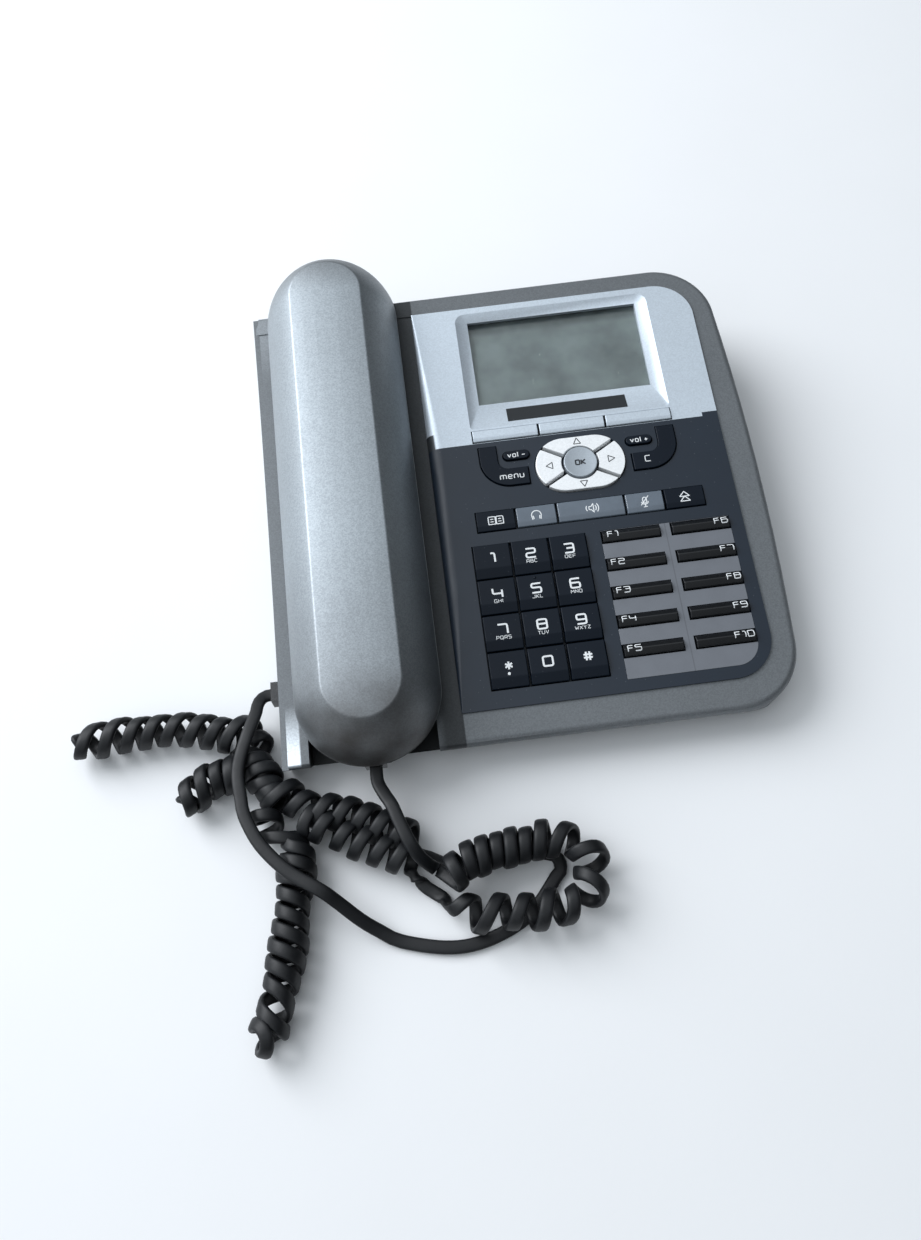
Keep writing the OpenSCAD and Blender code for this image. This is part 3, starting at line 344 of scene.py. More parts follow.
def painted_well_shade_and_ledge_highlight(tree, place):
    """Falls to a low share in the cradle's wells and in the channel right of the handset: painted shade,
    where the handset and the well walls shade the housing.

    It rises on the narrow ledge left of the handset, most towards the user: a painted highlight.
    """
    u, v, w = face_axes(tree, place)
    aside = add(tree, "Math", (u, -HANDSET_U), operation="ADD")
    off = add(tree, "Math", (aside,), operation="ABSOLUTE")
    # Painted shade in the well hollows, below the rim and above the well floor
    inside = add(tree, "MapRange", (off, WELL_HALF - 0.3 * MM, WELL_HALF, 1, 0))
    deep = add(tree, "MapRange", (w, -6 * MM, -2 * MM, 0.9, 0))
    above = add(tree, "MapRange", (w, WELL_FLOOR - 0.6 * MM, WELL_FLOOR - 0.2 * MM, 0, 1))
    part = add(tree, "Math", (inside, deep), operation="MULTIPLY")
    wells = add(tree, "Math", (part, above), operation="MULTIPLY")
    # Painted shade in the channel right of the handset, which the handset shades
    right = add(tree, "MapRange", (aside, 22 * MM, 27 * MM, 0, 0.7))
    left = add(tree, "MapRange", (aside, CHANNEL_END - 0.4 * MM, CHANNEL_END, 1, 0))
    channel = add(tree, "Math", (right, left), operation="MULTIPLY")
    dark = add(tree, "Math", (wells, channel), operation="MAXIMUM")
    # Painted highlight on the ledge left of the handset, strongest at the front
    ledge = add(tree, "MapRange", (u, LEDGE_U - 0.6 * MM, LEDGE_U, 1, 0))
    top = add(tree, "MapRange", (w, -2.6 * MM, -1.4 * MM, 0, 1))
    painted_ledge_highlight = add(tree, "Math", (ledge, top), operation="MULTIPLY")
    along = add(tree, "MapRange", (v, -85 * MM, 60 * MM, 5.2, 0.5))
    light = add(tree, "Math", (painted_ledge_highlight, along), operation="MULTIPLY")
    # The painted shade darkens the paint and the painted highlight adds to it
    return add(tree, "Math", (add(tree, "MapRange", (dark, 0, 1, 1, 0)), light), operation="ADD")


def painted_slot_shade(tree, place):
    """Falls to a low share in the soft keys' slots and on the keys' sides in them: painted shade in the
    narrow gaps.
    """
    _, v, w = face_axes(tree, place)
    deep = add(tree, "MapRange", (w, -0.5 * MM, -0.2 * MM, 1, 0))
    ahead = add(tree, "MapRange", (v, SLOTS_REAR, SLOTS_REAR + 0.2 * MM, 0.92, 0))
    # Painted shade below the face, ahead of the display recess
    dark = add(tree, "Math", (deep, ahead), operation="MULTIPLY")
    return add(tree, "MapRange", (dark, 0, 1, 1, 0))


def painted_handset_end_shade(tree, place, base):
    """Tones the paint down to a warm grey towards both of the handset's ends, as painted shade."""
    low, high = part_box("handset_back")
    y = add(tree, "SeparateXYZ", (place,)).outputs["Y"]
    front = add(tree, "MapRange", (y, low.y + 6 * MM, low.y + 30 * MM, 0.85, 0.3))
    middle = add(tree, "MapRange", (y, low.y + 30 * MM, low.y + 80 * MM, 1, 0))
    near = add(tree, "Math", (front, middle), operation="MULTIPLY")
    rear = add(tree, "MapRange", (y, high.y - 30 * MM, high.y - 3 * MM, 0, 0.75))
    ends = add(tree, "Math", (near, rear), operation="ADD")
    uneven = clouds(tree, place, 14 * MM, 0.8, 1.1, 3, (0.3, 0.7))
    share = add(tree, "Math", (ends, uneven), operation="MULTIPLY")
    # The warm grey 4A4643 is the colour of the painted shade
    return add(tree, "Mix", {0: share, 6: base, 7: srgb("4A4643")}, data_type="RGBA").outputs[2]


def sprayed_paint(name, tint, metallic, rough, fleck, speckle, gloss=0.5, painted_light=None, painted_end_shade=None):
    """ABS mouldings sprayed with metallic paint: flakes sparkle in it, and the spray leaves a fine peel.

    Real flakes are some hundredths of a millimetre; they are drawn as coarse as they need to show.
    """
    material, tree, place = start(name)
    cells = add(tree, "TexVoronoi", {"Vector": place, "Scale": 1 / fleck}).outputs["Color"]
    flakes = add(tree, "MapRange", (add(tree, "SeparateColor", (cells,)), 0, 1, 1 - speckle, 1 + speckle))
    value = add(tree, "Math", (flakes, clouds(tree, place, 40 * MM, 0.95, 1.05, 3)), operation="MULTIPLY")
    # A mask of painted shade and painted highlight scales the tint's value
    if painted_light:
        value = add(tree, "Math", (value, painted_light(tree, place)), operation="MULTIPLY")
    base = add(tree, "HueSaturation", {"Color": tint, "Value": value})
    # Mixes painted shade into the tint, here at the handset's ends
    if painted_end_shade:
        base = painted_end_shade(tree, place, base)
    shade(tree, {"Base Color": base, "Metallic": metallic, "IOR": 1.5, "Specular IOR Level": gloss,
                 "Roughness": clouds(tree, place, 6 * MM, rough - 0.05, rough + 0.07, 4),
                 "Normal": relief(tree, place, 0.8 * MM, 0.12, 0.05 * MM)})
    return material


def moulded_plastic(name, tint, rough, grain, depth, dust=0.0, gloss=0.5):
    """ABS moulded against an eroded steel tool: an even matt grain, a little dust and handling gloss."""
    material, tree, place = start(name)
    specks = add(tree, "TexVoronoi", {"Vector": place, "Scale": 1 / (2.2 * MM)}).outputs["Distance"]
    near = add(tree, "MapRange", (specks, 0.03, 0.07, dust, 0))
    clean = mottled(tree, place, tint, 12 * MM, 0.86, 1.16, 4)
    base = add(tree, "Mix", {0: near, 6: clean, 7: srgb("8A8F94")}, data_type="RGBA")
    shade(tree, {"Base Color": base.outputs[2], "IOR": 1.53, "Specular IOR Level": gloss,
                 "Roughness": clouds(tree, place, 9 * MM, rough - 0.06, rough + 0.1, 4),
                 "Normal": relief(tree, place, grain, 0.35, depth, 3)})
    return material


def smoke_plastic(name, tint):
    """Translucent smoke polycarbonate: polished, a little deeper in colour where it is thicker."""
    material, tree, place = start(name)
    shade(tree, {"Base Color": mottled(tree, place, tint, 5 * MM, 0.85, 1.2), "Roughness": 0.22, "IOR": 1.58,
                 "Transmission Weight": 0.15, "Coat Weight": 0.4, "Coat Roughness": 0.12})
    return material


def gloss_plastic(name, tint):
    """Polished black polycarbonate with fine wiping marks."""
    material, tree, place = start(name)
    shade(tree, {"Base Color": mottled(tree, place, tint, 4 * MM, 0.8, 1.3, 3), "IOR": 1.58,
                 "Roughness": clouds(tree, place, 2 * MM, 0.14, 0.34, 5)})
    return material


def clear_sheet(name):
    """Cast acrylic window: clear, with fine scratches from wiping."""
    material, tree, place = start(name)
    turn = add(tree, "Mapping", {"Vector": place, "Rotation": (0.0, 0.0, 1.1), "Scale": (1.0, 0.06, 1.0)})
    shade(tree, {"Base Color": srgb("E4EAE8"), "Transmission Weight": 1.0, "IOR": 1.49,
                 "Roughness": clouds(tree, turn, 0.9 * MM, 0.02, 0.5, 4, (0.62, 0.85), 0.7)})
    return material


def liquid_crystal(name, tint):
    """Idle display: a grey green film with a painted dull sheen in clouds, and painted shade along its rear
    edge.
    """
    material, tree, place = start(name)
    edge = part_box("display_window")[1].y
    y = add(tree, "SeparateXYZ", (place,)).outputs["Y"]
    # Painted shade along the rear edge, where the recess's rear wall shades the display
    rear = add(tree, "MapRange", (y, edge - 7 * MM, edge - 4.5 * MM, 1, 0.7))
    # Painted sheen: the film's colour lighter and darker in soft clouds
    cloud = clouds(tree, place, 20 * MM, 0.78, 1.34, 3, (0.34, 0.68), 0.55)
    value = add(tree, "Math", (rear, cloud), operation="MULTIPLY")
    base = add(tree, "HueSaturation", {"Color": tint, "Value": value})
    shade(tree, {"Base Color": base, "Roughness": 0.42, "IOR": 1.5})
    return material


def label_cover(name, tint):
    """Clear PVC cover on a plain grey card: the card's soft tone under a thin gloss."""
    material, tree, place = start(name)
    low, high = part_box("label_cover")
    x = add(tree, "SeparateXYZ", (place,)).outputs["X"]
    away = add(tree, "Math", (x, (low.x + high.x) / 2), operation="SUBTRACT")
    off = add(tree, "Math", (away,), operation="ABSOLUTE")
    seam = add(tree, "MapRange", (off, 0.1 * MM, 0.3 * MM, 0.72, 1))
    value = add(tree, "Math", (seam, clouds(tree, place, 7 * MM, 0.88, 1.12, 4)), operation="MULTIPLY")
    base = add(tree, "HueSaturation", {"Color": tint, "Value": value})
    shade(tree, {"Base Color": base, "Roughness": 0.5, "IOR": 1.5, "Coat Weight": 0.6,
                 "Coat Roughness": 0.2})
    return material


def flexible_jacket(name, tint):
    """Black plasticised PVC, extruded and wound: matt, a little dusty, with lighter spots from rubbing."""
    material, tree, place = start(name)
    rub = clouds(tree, place, 5 * MM, 0, 0.35, 4, (0.55, 0.8), 0.6)
    base = add(tree, "Mix", {0: rub, 6: tint, 7: srgb("2A2D30")}, data_type="RGBA")
    shade(tree, {"Base Color": base.outputs[2], "IOR": 1.53, "Specular IOR Level": 0.35,
                 "Roughness": clouds(tree, place, 3 * MM, 0.4, 0.58, 3),
                 "Normal": relief(tree, place, 0.9 * MM, 0.25, 0.1 * MM, 3)})
    return material


def printing_ink(name, tint):
    """Screen printed ink: flat and matt, a little thin in places."""
    material, tree, place = start(name)
    shade(tree, {"Base Color": mottled(tree, place, tint, 0.7 * MM, 0.9, 1.08), "Roughness": 0.55})
    return material


def plated_steel(name):
    """Zinc plated steel: dull bright metal with a fine crystal bloom."""
    material, tree, place = start(name)
    cells = add(tree, "TexVoronoi", {"Vector": place, "Scale": 1 / (1.2 * MM)}).outputs["Color"]
    bloom = add(tree, "MapRange", (add(tree, "SeparateColor", (cells,)), 0, 1, 0.3, 0.48))
    shade(tree, {"Base Color": srgb("B4B7BA"), "Metallic": 1.0, "Roughness": bloom})
    return material


FINISHES = {}


class PHONE_OT_finishes(bpy.types.Operator):
    """Mixes the finishes of the telephone's plastics, inks and metals"""
    bl_idname = "phone.finishes"
    bl_label = "Finishes"

    def execute(self, context):
        tints = context.scene.telephone_colours
        FINISHES.update({
            # The handset's paint carries painted shade at its ends
            "handset": sprayed_paint("sprayed_abs_handset", tints.handset, 0.8, 0.47, 0.45 * MM, 0.13,
                                     painted_end_shade=painted_handset_end_shade),
            # The housing's paint carries painted shade in the wells and the channel, and a painted highlight
            # on the left ledge
            "housing": sprayed_paint("sprayed_abs_housing", tints.housing, 0.3, 0.44, 0.42 * MM, 0.12,
                                     0.25, painted_well_shade_and_ledge_highlight),
            # The fascia's paint, also on the soft keys, carries painted shade in the keys' slots
            "silver": sprayed_paint("sprayed_abs_fascia", tints.silver, 0.5, 0.42, 0.5 * MM, 0.06,
                                    painted_light=painted_slot_shade),
            "ring": sprayed_paint("sprayed_abs_ring", tints.ring, 0.3, 0.38, 0.5 * MM, 0.05),
            "button": sprayed_paint("sprayed_abs_button", tints.button, 0.4, 0.38, 0.5 * MM, 0.05),
            "navy": moulded_plastic("moulded_abs_navy", tints.navy, 0.46, 0.5 * MM, 0.03 * MM, 0.5),
            "key": moulded_plastic("moulded_abs_keys", tints.key, 0.42, 0.6 * MM, 0.02 * MM, 0.25, 0.2),
            "smoke": smoke_plastic("polished_polycarbonate_smoke", tints.smoke),
            "gloss": gloss_plastic("polished_polycarbonate_black", tints.gloss),
            "window": clear_sheet("cast_acrylic_window"),
            "liquid": liquid_crystal("liquid_crystal_film", tints.liquid),
            "card": label_cover("pvc_cover_on_card", tints.card),
            "jacket": flexible_jacket("extruded_pvc_jacket", tints.jacket),
            "ink": printing_ink("screen_print_white", tints.ink),
            "dark_ink": printing_ink("screen_print_dark", srgb("22262B")),
            "strip": moulded_plastic("grained_vinyl_strip", srgb("171C20"), 0.7, 0.9 * MM, 0.06 * MM),
            "rubber": moulded_plastic("moulded_rubber", srgb("17181A"), 0.75, 0.7 * MM, 0.05 * MM),
            "plug": gloss_plastic("moulded_polycarbonate_plug", srgb("15171A")),
            "silicone": moulded_plastic("moulded_silicone", srgb("C9CBC8"), 0.6, 0.8 * MM, 0.02 * MM),
            "laminate": moulded_plastic("glass_epoxy_laminate", srgb("1E4A33"), 0.4, 0.6 * MM, 0.02 * MM),
            "steel": plated_steel("zinc_plated_steel"),
        })
        return {"FINISHED"}


# Stage

class PHONE_OT_stage(bpy.types.Operator):
    """Sets the camera at the photograph's view, a pale floor and soft studio light"""
    bl_idname = "phone.stage"
    bl_label = "Stage"

    def execute(self, context):
        scene = context.scene
        scene.view_settings.view_transform = "Standard"
        self.camera(scene)
        self.floor(scene)
        self.light(scene)
        return {"FINISHED"}

    def camera(self, scene):
        """A camera above the front of the telephone; its lens is 1000 pixels on a 921 by 1240 picture."""
        data = bpy.data.cameras.new("camera")
        data.sensor_width = 36
        data.lens = 36 * 1000 / 1240
        data.clip_start = 0.01
        camera = bpy.data.objects.new("camera", data)
        right = Vector((0.992, -0.1188, -0.0431)).normalized()
        back = -Vector((0.015, 0.4492, -0.8933)).normalized()
        up = back.cross(right).normalized()
        right = up.cross(back)
        turn = Matrix((right, up, back)).transposed().to_4x4()
        camera.matrix_world = Matrix.Translation(Vector((-33.1, -227.4, 364.3)) * MM) @ turn
        scene.collection.objects.link(camera)
        scene.camera = camera

    def floor(self, scene):
        """A wide table top of fine white paper."""
        material, tree, place = start("white_paper_floor")
        base = mottled(tree, place, scene.telephone_colours.floor, 60 * MM, 0.985, 1.015, 3)
        shade(tree, {"Base Color": base, "Roughness": 0.85, "Specular IOR Level": 0.2,
                     "Normal": relief(tree, place, 2.5 * MM, 0.15, 0.2 * MM, 4)})
        bm = bmesh.new()
        bmesh.ops.create_grid(bm, x_segments=2, y_segments=2, size=3)
        mesh_object(bm, "floor", material, 30)

    def light(self, scene):
        """A wide soft lamp at the rear left, and a sky that is brightest overhead to the left."""
        data = bpy.data.lights.new("window_lamp", "AREA")
        data.shape = "DISK"
        data.size = 1.1
        data.energy = 16.6
        data.color = srgb("F7FAFF")[:3]
        lamp = bpy.data.objects.new("window_lamp", data)
        lamp.location = (-0.85, 0.52, 0.85)
        aim = Vector((0, -0.02, 0.02)) - lamp.location
        lamp.rotation_euler = aim.to_track_quat("-Z", "Y").to_euler()
        scene.collection.objects.link(lamp)
        world = bpy.data.worlds.new("sky")
        scene.world = world
        world.use_nodes = True
        tree = world.node_tree
        tree.nodes.clear()
        way = add(tree, "TexCoord").outputs["Generated"]
        brightest = (-0.6, 0.1, 0.79)
        side = add(tree, "VectorMath", (way, brightest), operation="DOT_PRODUCT").outputs["Value"]
        glow = add(tree, "MapRange", (side, 0.1, 0.95, 0.03, 1.25))
        add(tree, "OutputWorld", (add(tree, "Background", {"Color": srgb("EBF2F8"), "Strength": glow}),))


# Cord

# Points are in millimetres from the base's front left corner on the table, as in the part's source
CORNER = Vector((-99.5, -104.176, 0))
COIL_Z = 7.8
TRUNK = [(43, -32, -209, 1.4), (32, -26, -209, 1.7), (21, -20, -209, 1.7), (10, -14, -209, 1.7)]
LOWER_ARM = [(3, -28, -90, 1), (2, -39, -92, 1), (0, -51, -97, 1), (-2, -63, -101, 1),
             (-5, -75, -106, 1), (-9, -87, -108, 0.75)]
SIDE_TRUNK = [(-5, -6, -241, 1.5), (-11, 6, -243, 1.5)]
SMALL_ARM = [(-19, 5, -165, 0.8), (-28, 2, -150, 1), (-37, -5, -147, 0.9)]
LEFT_ARM = [(-22, 20, -195, 0.6), (-34, 23, -188, 0.8), (-46, 25, -184, 0.7), (-58, 25, -180, 0.8),
            (-70, 24, -177, 0.7), (-80, 23, -176, 0.6)]
FIRST_LIMB = [(57, -45, 14, 40, 0, 1), (63, -41, 12.5, 20, 1.2, 1), (73, -38, 10.6, 8, 2, 1),
              (84, -37, 10, 4, 2.2, 1), (94, -36, 10, -5, 1.8, 1), (103, -39, 10, -45, 0.9, 1),
              (107, -48, 10, -90, 0.9, 1), (103, -57, 10, -135, 0.9, 1), (94, -60, 10, -180, 0.9, 1),
              (83, -60, 10, -188, 1.25, 1), (72, -59, 9, -196, 1.2, 1), (61, -57, 7.5, -205, 1, 1),
              (53, -50, 2.7, -222, 0.7, 0.05), (46, -44, 2.7, -228, 0, 0.05)]
HANDSET_ROUTE = [(34.5, -8, 13.2), (36.5, -13, 14.2), (39, -18, 15.8), (41, -24, 16.4), (44, -32, 16.2),
                 (47, -37, 13), (50, -39.5, 9)]
BASE_ROUTE = [(66, -39, 1.5), (80, -38, 1.5), (92, -39, 1.5), (98, -43, 1.5), (94, -48, 1.5),
              (86, -57, 1.5), (77, -63, 1.5), (64, -67, 1.5), (52, -67, 1.5), (37, -63, 1.5), (30, -59, 3.5),
              (24, -55, 7),
              (17, -49, 12), (12, -45, 15.6), (2, -38, 16), (-5, -31, 16), (-10, -24, 16), (-14, -15, 16),
              (-15, -9, 16), (-16, 0, 16), (-15, 7, 16), (-12, 16, 16), (-9, 25, 14)]
HANDSET_EXIT = Vector((-65, -106.931, 13.980))
BASE_EXIT = Vector((-102.8, -71.4216, 10.6))

# Station of the first limb where the handset's cord ends, turn at which the coil starts, points of the
# strap's section and how square it is, tightest bend that is left alone and rounds of easing tighter ones
FIRST_END = 4
FIRST_TURN = 0.8
SECTION_POINTS = 14
SECTION_POWER = 0.62
TIGHTEST = 4
EASING_ROUNDS = 60

# Steps along the two leads, points over which their straps turn to the coil's side, straight stub before the
# coil, and how much and how often the curls' size changes
FRONT_STEP = 1.5
REAR_STEP = 2.5
FRONT_TURN = 10
REAR_TURN = 3
STUB = 0.4
UNEVEN = 0.1
UNEVEN_PACE = 0.43


def beside(arm, off):
    """An arm moved aside."""
    turns = [math.radians(heading) for _, _, heading, _ in arm]
    return [(x - off * math.sin(a), y + off * math.cos(a), heading, curls)
            for (x, y, heading, curls), a in zip(arm, turns)]


def arm_out(arm):
    return [(x, y, COIL_Z, heading, curls, 1) for x, y, heading, curls in arm]


def arm_back(arm):
    return [(arm[i][0], arm[i][1], COIL_Z, arm[i][2] - 180, arm[i + 1][3], 1)
            for i in range(len(arm) - 2, -1, -1)]


def eased(line, limit, rounds):
    """A line of centres and sides with the kinks eased that are tighter than a limit."""
    for _ in range(rounds):
        middle = []
        for a, b, c in zip(line, line[1:], line[2:]):
            before, after = b[0] - a[0], c[0] - b[0]
            if before.angle(after, 0.0) * 2 * limit > before.length + after.length:
                b = tuple(b[k].lerp((a[k] + c[k]) / 2, 0.5) for k in (0, 1))
            middle.append(b)
        line = [line[0]] + middle + [line[-1]]
    return line


def arm_both(arm):
    """An arm out and back; None stands for the curls at its tip that lay the way back between its curls."""
    x, y, heading, _ = arm[-1]
    return arm_out(arm) + [(x, y, COIL_Z, heading - 180, None, 1)] + arm_back(arm)


def coil_axis():
    """Stations of the curly part: x, y, z, heading, curls from the station before, share of the radius."""
    return (FIRST_LIMB + arm_out(beside(TRUNK, 4.5)) + arm_both(LOWER_ARM) + [(-8, -19, COIL_Z, -264, 1, 1)]
            + arm_out(SIDE_TRUNK) + arm_both(SMALL_ARM) + arm_both(LEFT_ARM)
            + [(-10, 19, COIL_Z, -400, 1, 1), (-11, 6, COIL_Z, -423, 1.4, 1),
               (-5, -6, COIL_Z, -421, 1.4, 1), (2, -8, COIL_Z, -400, 1, 1), (10, -14, COIL_Z, -389, 1, 1)]
            + arm_back(beside(TRUNK, -3.5)) + [(52, -36, 2.8, -389, 0, 0.05), (59, -39, 2.6, -380, 0, 0)])


def spline(a, b, c, d, t):
    """A smooth curve from b to c."""
    return b + t / 2 * (c - a + t * (2 * a - 5 * b + 4 * c - d + t * (3 * (b - c) + d - a)))


def smooth_line(points, step):
    """Points about step apart on a smooth curve through the given ones."""
    line = []
    for i in range(len(points) - 1):
        a, b, c, d = (points[max(0, min(len(points) - 1, i + k))] for k in (-1, 0, 1, 2))
        count = max(1, round((c - b).length / step))
        line += [spline(a, b, c, d, j / count) for j in range(count)]
    return line + [points[-1]]


def coil_line(radius, rings):
    """Centres of the curled strap with their outward sides, and how many of them lie on the first limb."""
    axis = coil_axis()
    turns = [FIRST_TURN]
    for station in axis[1:]:
        curls = station[4] if station[4] is not None else (-2 * turns[-1] - 0.3) % 1 + 0.3
        turns.append(turns[-1] + curls)
    line, first = [], 0
    for i in range(len(axis) - 1):
        a, b, c, d = (CORNER + Vector(axis[max(0, min(len(axis) - 1, i + k))][:3]) for k in (-1, 0, 1, 2))
        count = max(1, round(max(rings * (turns[i + 1] - turns[i]), (c - b).length / 3)))
        if i == FIRST_END:
            first = len(line)
        for j in range(count + (i == len(axis) - 2)):
            t = j / count
            heading = math.radians(axis[i][3] + (axis[i + 1][3] - axis[i][3]) * t)
            turn = math.tau * (turns[i] + (turns[i + 1] - turns[i]) * t)
            share = axis[i][5] + (axis[i + 1][5] - axis[i][5]) * t * t * (3 - 2 * t)
            side = Vector((math.sin(heading) * math.cos(turn), -math.cos(heading) * math.cos(turn),
                           math.sin(turn)))
            uneven = 1 + UNEVEN * math.sin(UNEVEN_PACE * turn)
            line.append((spline(a, b, c, d, t) + radius * share * uneven * side, side))
    return line, first


def cord_tube(line, width, thickness):
    """A closed tube of flat section along a line of centres and flat sides, in millimetres."""
    bm = bmesh.new()
    section = []
    for k in range(SECTION_POINTS):
        angle = math.tau * k / SECTION_POINTS
        section.append([half * math.copysign(abs(c) ** SECTION_POWER, c) for half, c in
                        ((width / 2, math.cos(angle)), (thickness / 2, math.sin(angle)))])
    rings = []
    for i, (centre, side) in enumerate(line):
        along = (line[min(i + 1, len(line) - 1)][0] - line[max(i - 1, 0)][0]).normalized()
        out = (side - side.dot(along) * along).normalized()
        across = along.cross(out)
        ring = [bm.verts.new((centre + across * p + out * q) * MM) for p, q in section]
        for k in range(len(ring)):
            bm.edges.new((ring[k - 1], ring[k]))
        rings.append(ring)
    for before, after in zip(rings, rings[1:]):
        for k in range(len(before)):
            bm.faces.new((before[k - 1], before[k], after[k], after[k - 1]))
    bm.faces.new(rings[0])
    bm.faces.new(rings[-1][::-1])
    bmesh.ops.recalc_face_normals(bm, faces=bm.faces)
    return bm


class PHONE_OT_cord(bpy.types.Operator):
    """Lays the curly cord with its two straight leads"""
    bl_idname = "phone.cord"
    bl_label = "Curly cord"

    def execute(self, context):
        sizes = context.scene.telephone_sizes
        width, thickness = sizes.cord_width / MM, sizes.cord_thickness / MM
        coil, first = coil_line((sizes.curl_diameter / MM - thickness) / 2, sizes.curl_rings)
        inward = (coil[1][0] - coil[0][0]).normalized()
        inlet = coil[0][0] - (width + STUB) * inward
        up = Vector((0, 0, 1))
        front = smooth_line([HANDSET_EXIT] + [CORNER + Vector(p) for p in HANDSET_ROUTE]
                            + [inlet - width * inward, inlet], FRONT_STEP)
        rear = smooth_line([coil[-1][0]] + [CORNER + Vector(p) for p in BASE_ROUTE]
                           + [BASE_EXIT - Vector((width, 0, 0)), BASE_EXIT], REAR_STEP)[1:]
        lead = [(p, up.lerp(coil[0][1], max(0.0, 1 - (len(front) - i) / FRONT_TURN)))
                for i, p in enumerate(front)]
        tail = [(p, coil[-1][1].lerp(up, min(1.0, (i + 1) / REAR_TURN))) for i, p in enumerate(rear)]
        whole = eased(lead + coil + tail, TIGHTEST, EASING_ROUNDS)
        split = len(front) + first
        self.lay(context, "handset_cord", whole[:split + 1], HANDSET_EXIT, ["handset_lead"], "handset_plug")
        self.lay(context, "curly_cord", whole[split:], BASE_EXIT, ["curly_coil", "base_lead"], "base_plug")
        return {"FINISHED"}

    def lay(self, context, name, line, leaves, nodes, plug):
        sizes = context.scene.telephone_sizes
        bm = cord_tube(line, sizes.cord_width / MM, sizes.cord_thickness / MM)
        cord = mesh_object(bm, name, FINISHES["jacket"], 60)
        if name == "handset_cord":
            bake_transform(cord)
        else:
            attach(cord, "base")
        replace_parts(cord, *nodes)


# Case, handset and keys

class PHONE_OT_case(bpy.types.Operator):
    """Finishes the base, its fascias, the hook and the parts inside"""
    bl_idname = "phone.case"
    bl_label = "Case"

    def execute(self, context):
        edge = context.scene.telephone_sizes.case_edge
        softened("display_fascia", edge / 2, FINISHES["silver"], sharp=11)
        softened("keypad_fascia", edge / 2, FINISHES["navy"], sharp=25)
        softened("upper_housing", edge / 2, FINISHES["housing"], sharp=50)
        softened("lower_shell", edge / 2, FINISHES["housing"], sharp=50)
        softened("label_cover", 0.3 * MM, FINISHES["card"], sharp=60)
        softened("rubber_feet", edge, FINISHES["rubber"], sharp=60)
        plain = {"hook_plunger": "key", "lcd_module": "liquid", "circuit_board": "laminate",
                 "dome_mat": "silicone", "loudspeaker": "steel", "receiver_capsule": "steel",
                 "microphone_capsule": "steel", "handset_plug": "plug", "base_plug": "plug"}
        for node, finish in plain.items():
            NODES[node].data.materials.clear()
            NODES[node].data.materials.append(FINISHES[finish])
        return {"FINISHED"}


class PHONE_OT_handset(bpy.types.Operator):
    """Finishes the two halves of the handset"""
    bl_idname = "phone.handset"
    bl_label = "Handset"

    def execute(self, context):
        edge = context.scene.telephone_sizes.case_edge
        softened("handset_back", edge, FINISHES["handset"], sharp=10)
        softened("handset_front", edge / 2, FINISHES["handset"], sharp=50)
        return {"FINISHED"}


class PHONE_OT_window(bpy.types.Operator):
    """Sets the clear window over the display"""
    bl_idname = "phone.window"
    bl_label = "Display window"

    def execute(self, context):
        low, high = in_face("display_window")
        bm = bmesh.new()
        bmesh.ops.create_cube(bm, size=1)
        size = high - low - Vector((0.2, 0.2, 0.1)) * MM
        bmesh.ops.scale(bm, vec=size, verts=bm.verts)
        round_edges(bm, bm.edges[:], 0.15 * MM)
        bmesh.ops.translate(bm, vec=(low + high) / 2, verts=bm.verts)
        bmesh.ops.transform(bm, matrix=FACE, verts=bm.verts)
        pane = piece(bm, "window_pane", FINISHES["window"], "base", 180)
        weigh_normals(pane.data)
        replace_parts(pane, "display_window")
        return {"FINISHED"}


class PHONE_OT_keys(bpy.types.Operator):
    """Rounds and finishes the keys"""
    bl_idname = "phone.keys"
    bl_label = "Keys"

    def execute(self, context):
        sizes = context.scene.telephone_sizes
        for nodes, finish, slot, share in KEY_GROUPS:
            for node in nodes:
                softened(node, sizes.key_edge * share, FINISHES[finish], 12, 3, sizes.key_gap)
        return {"FINISHED"}


# Legends

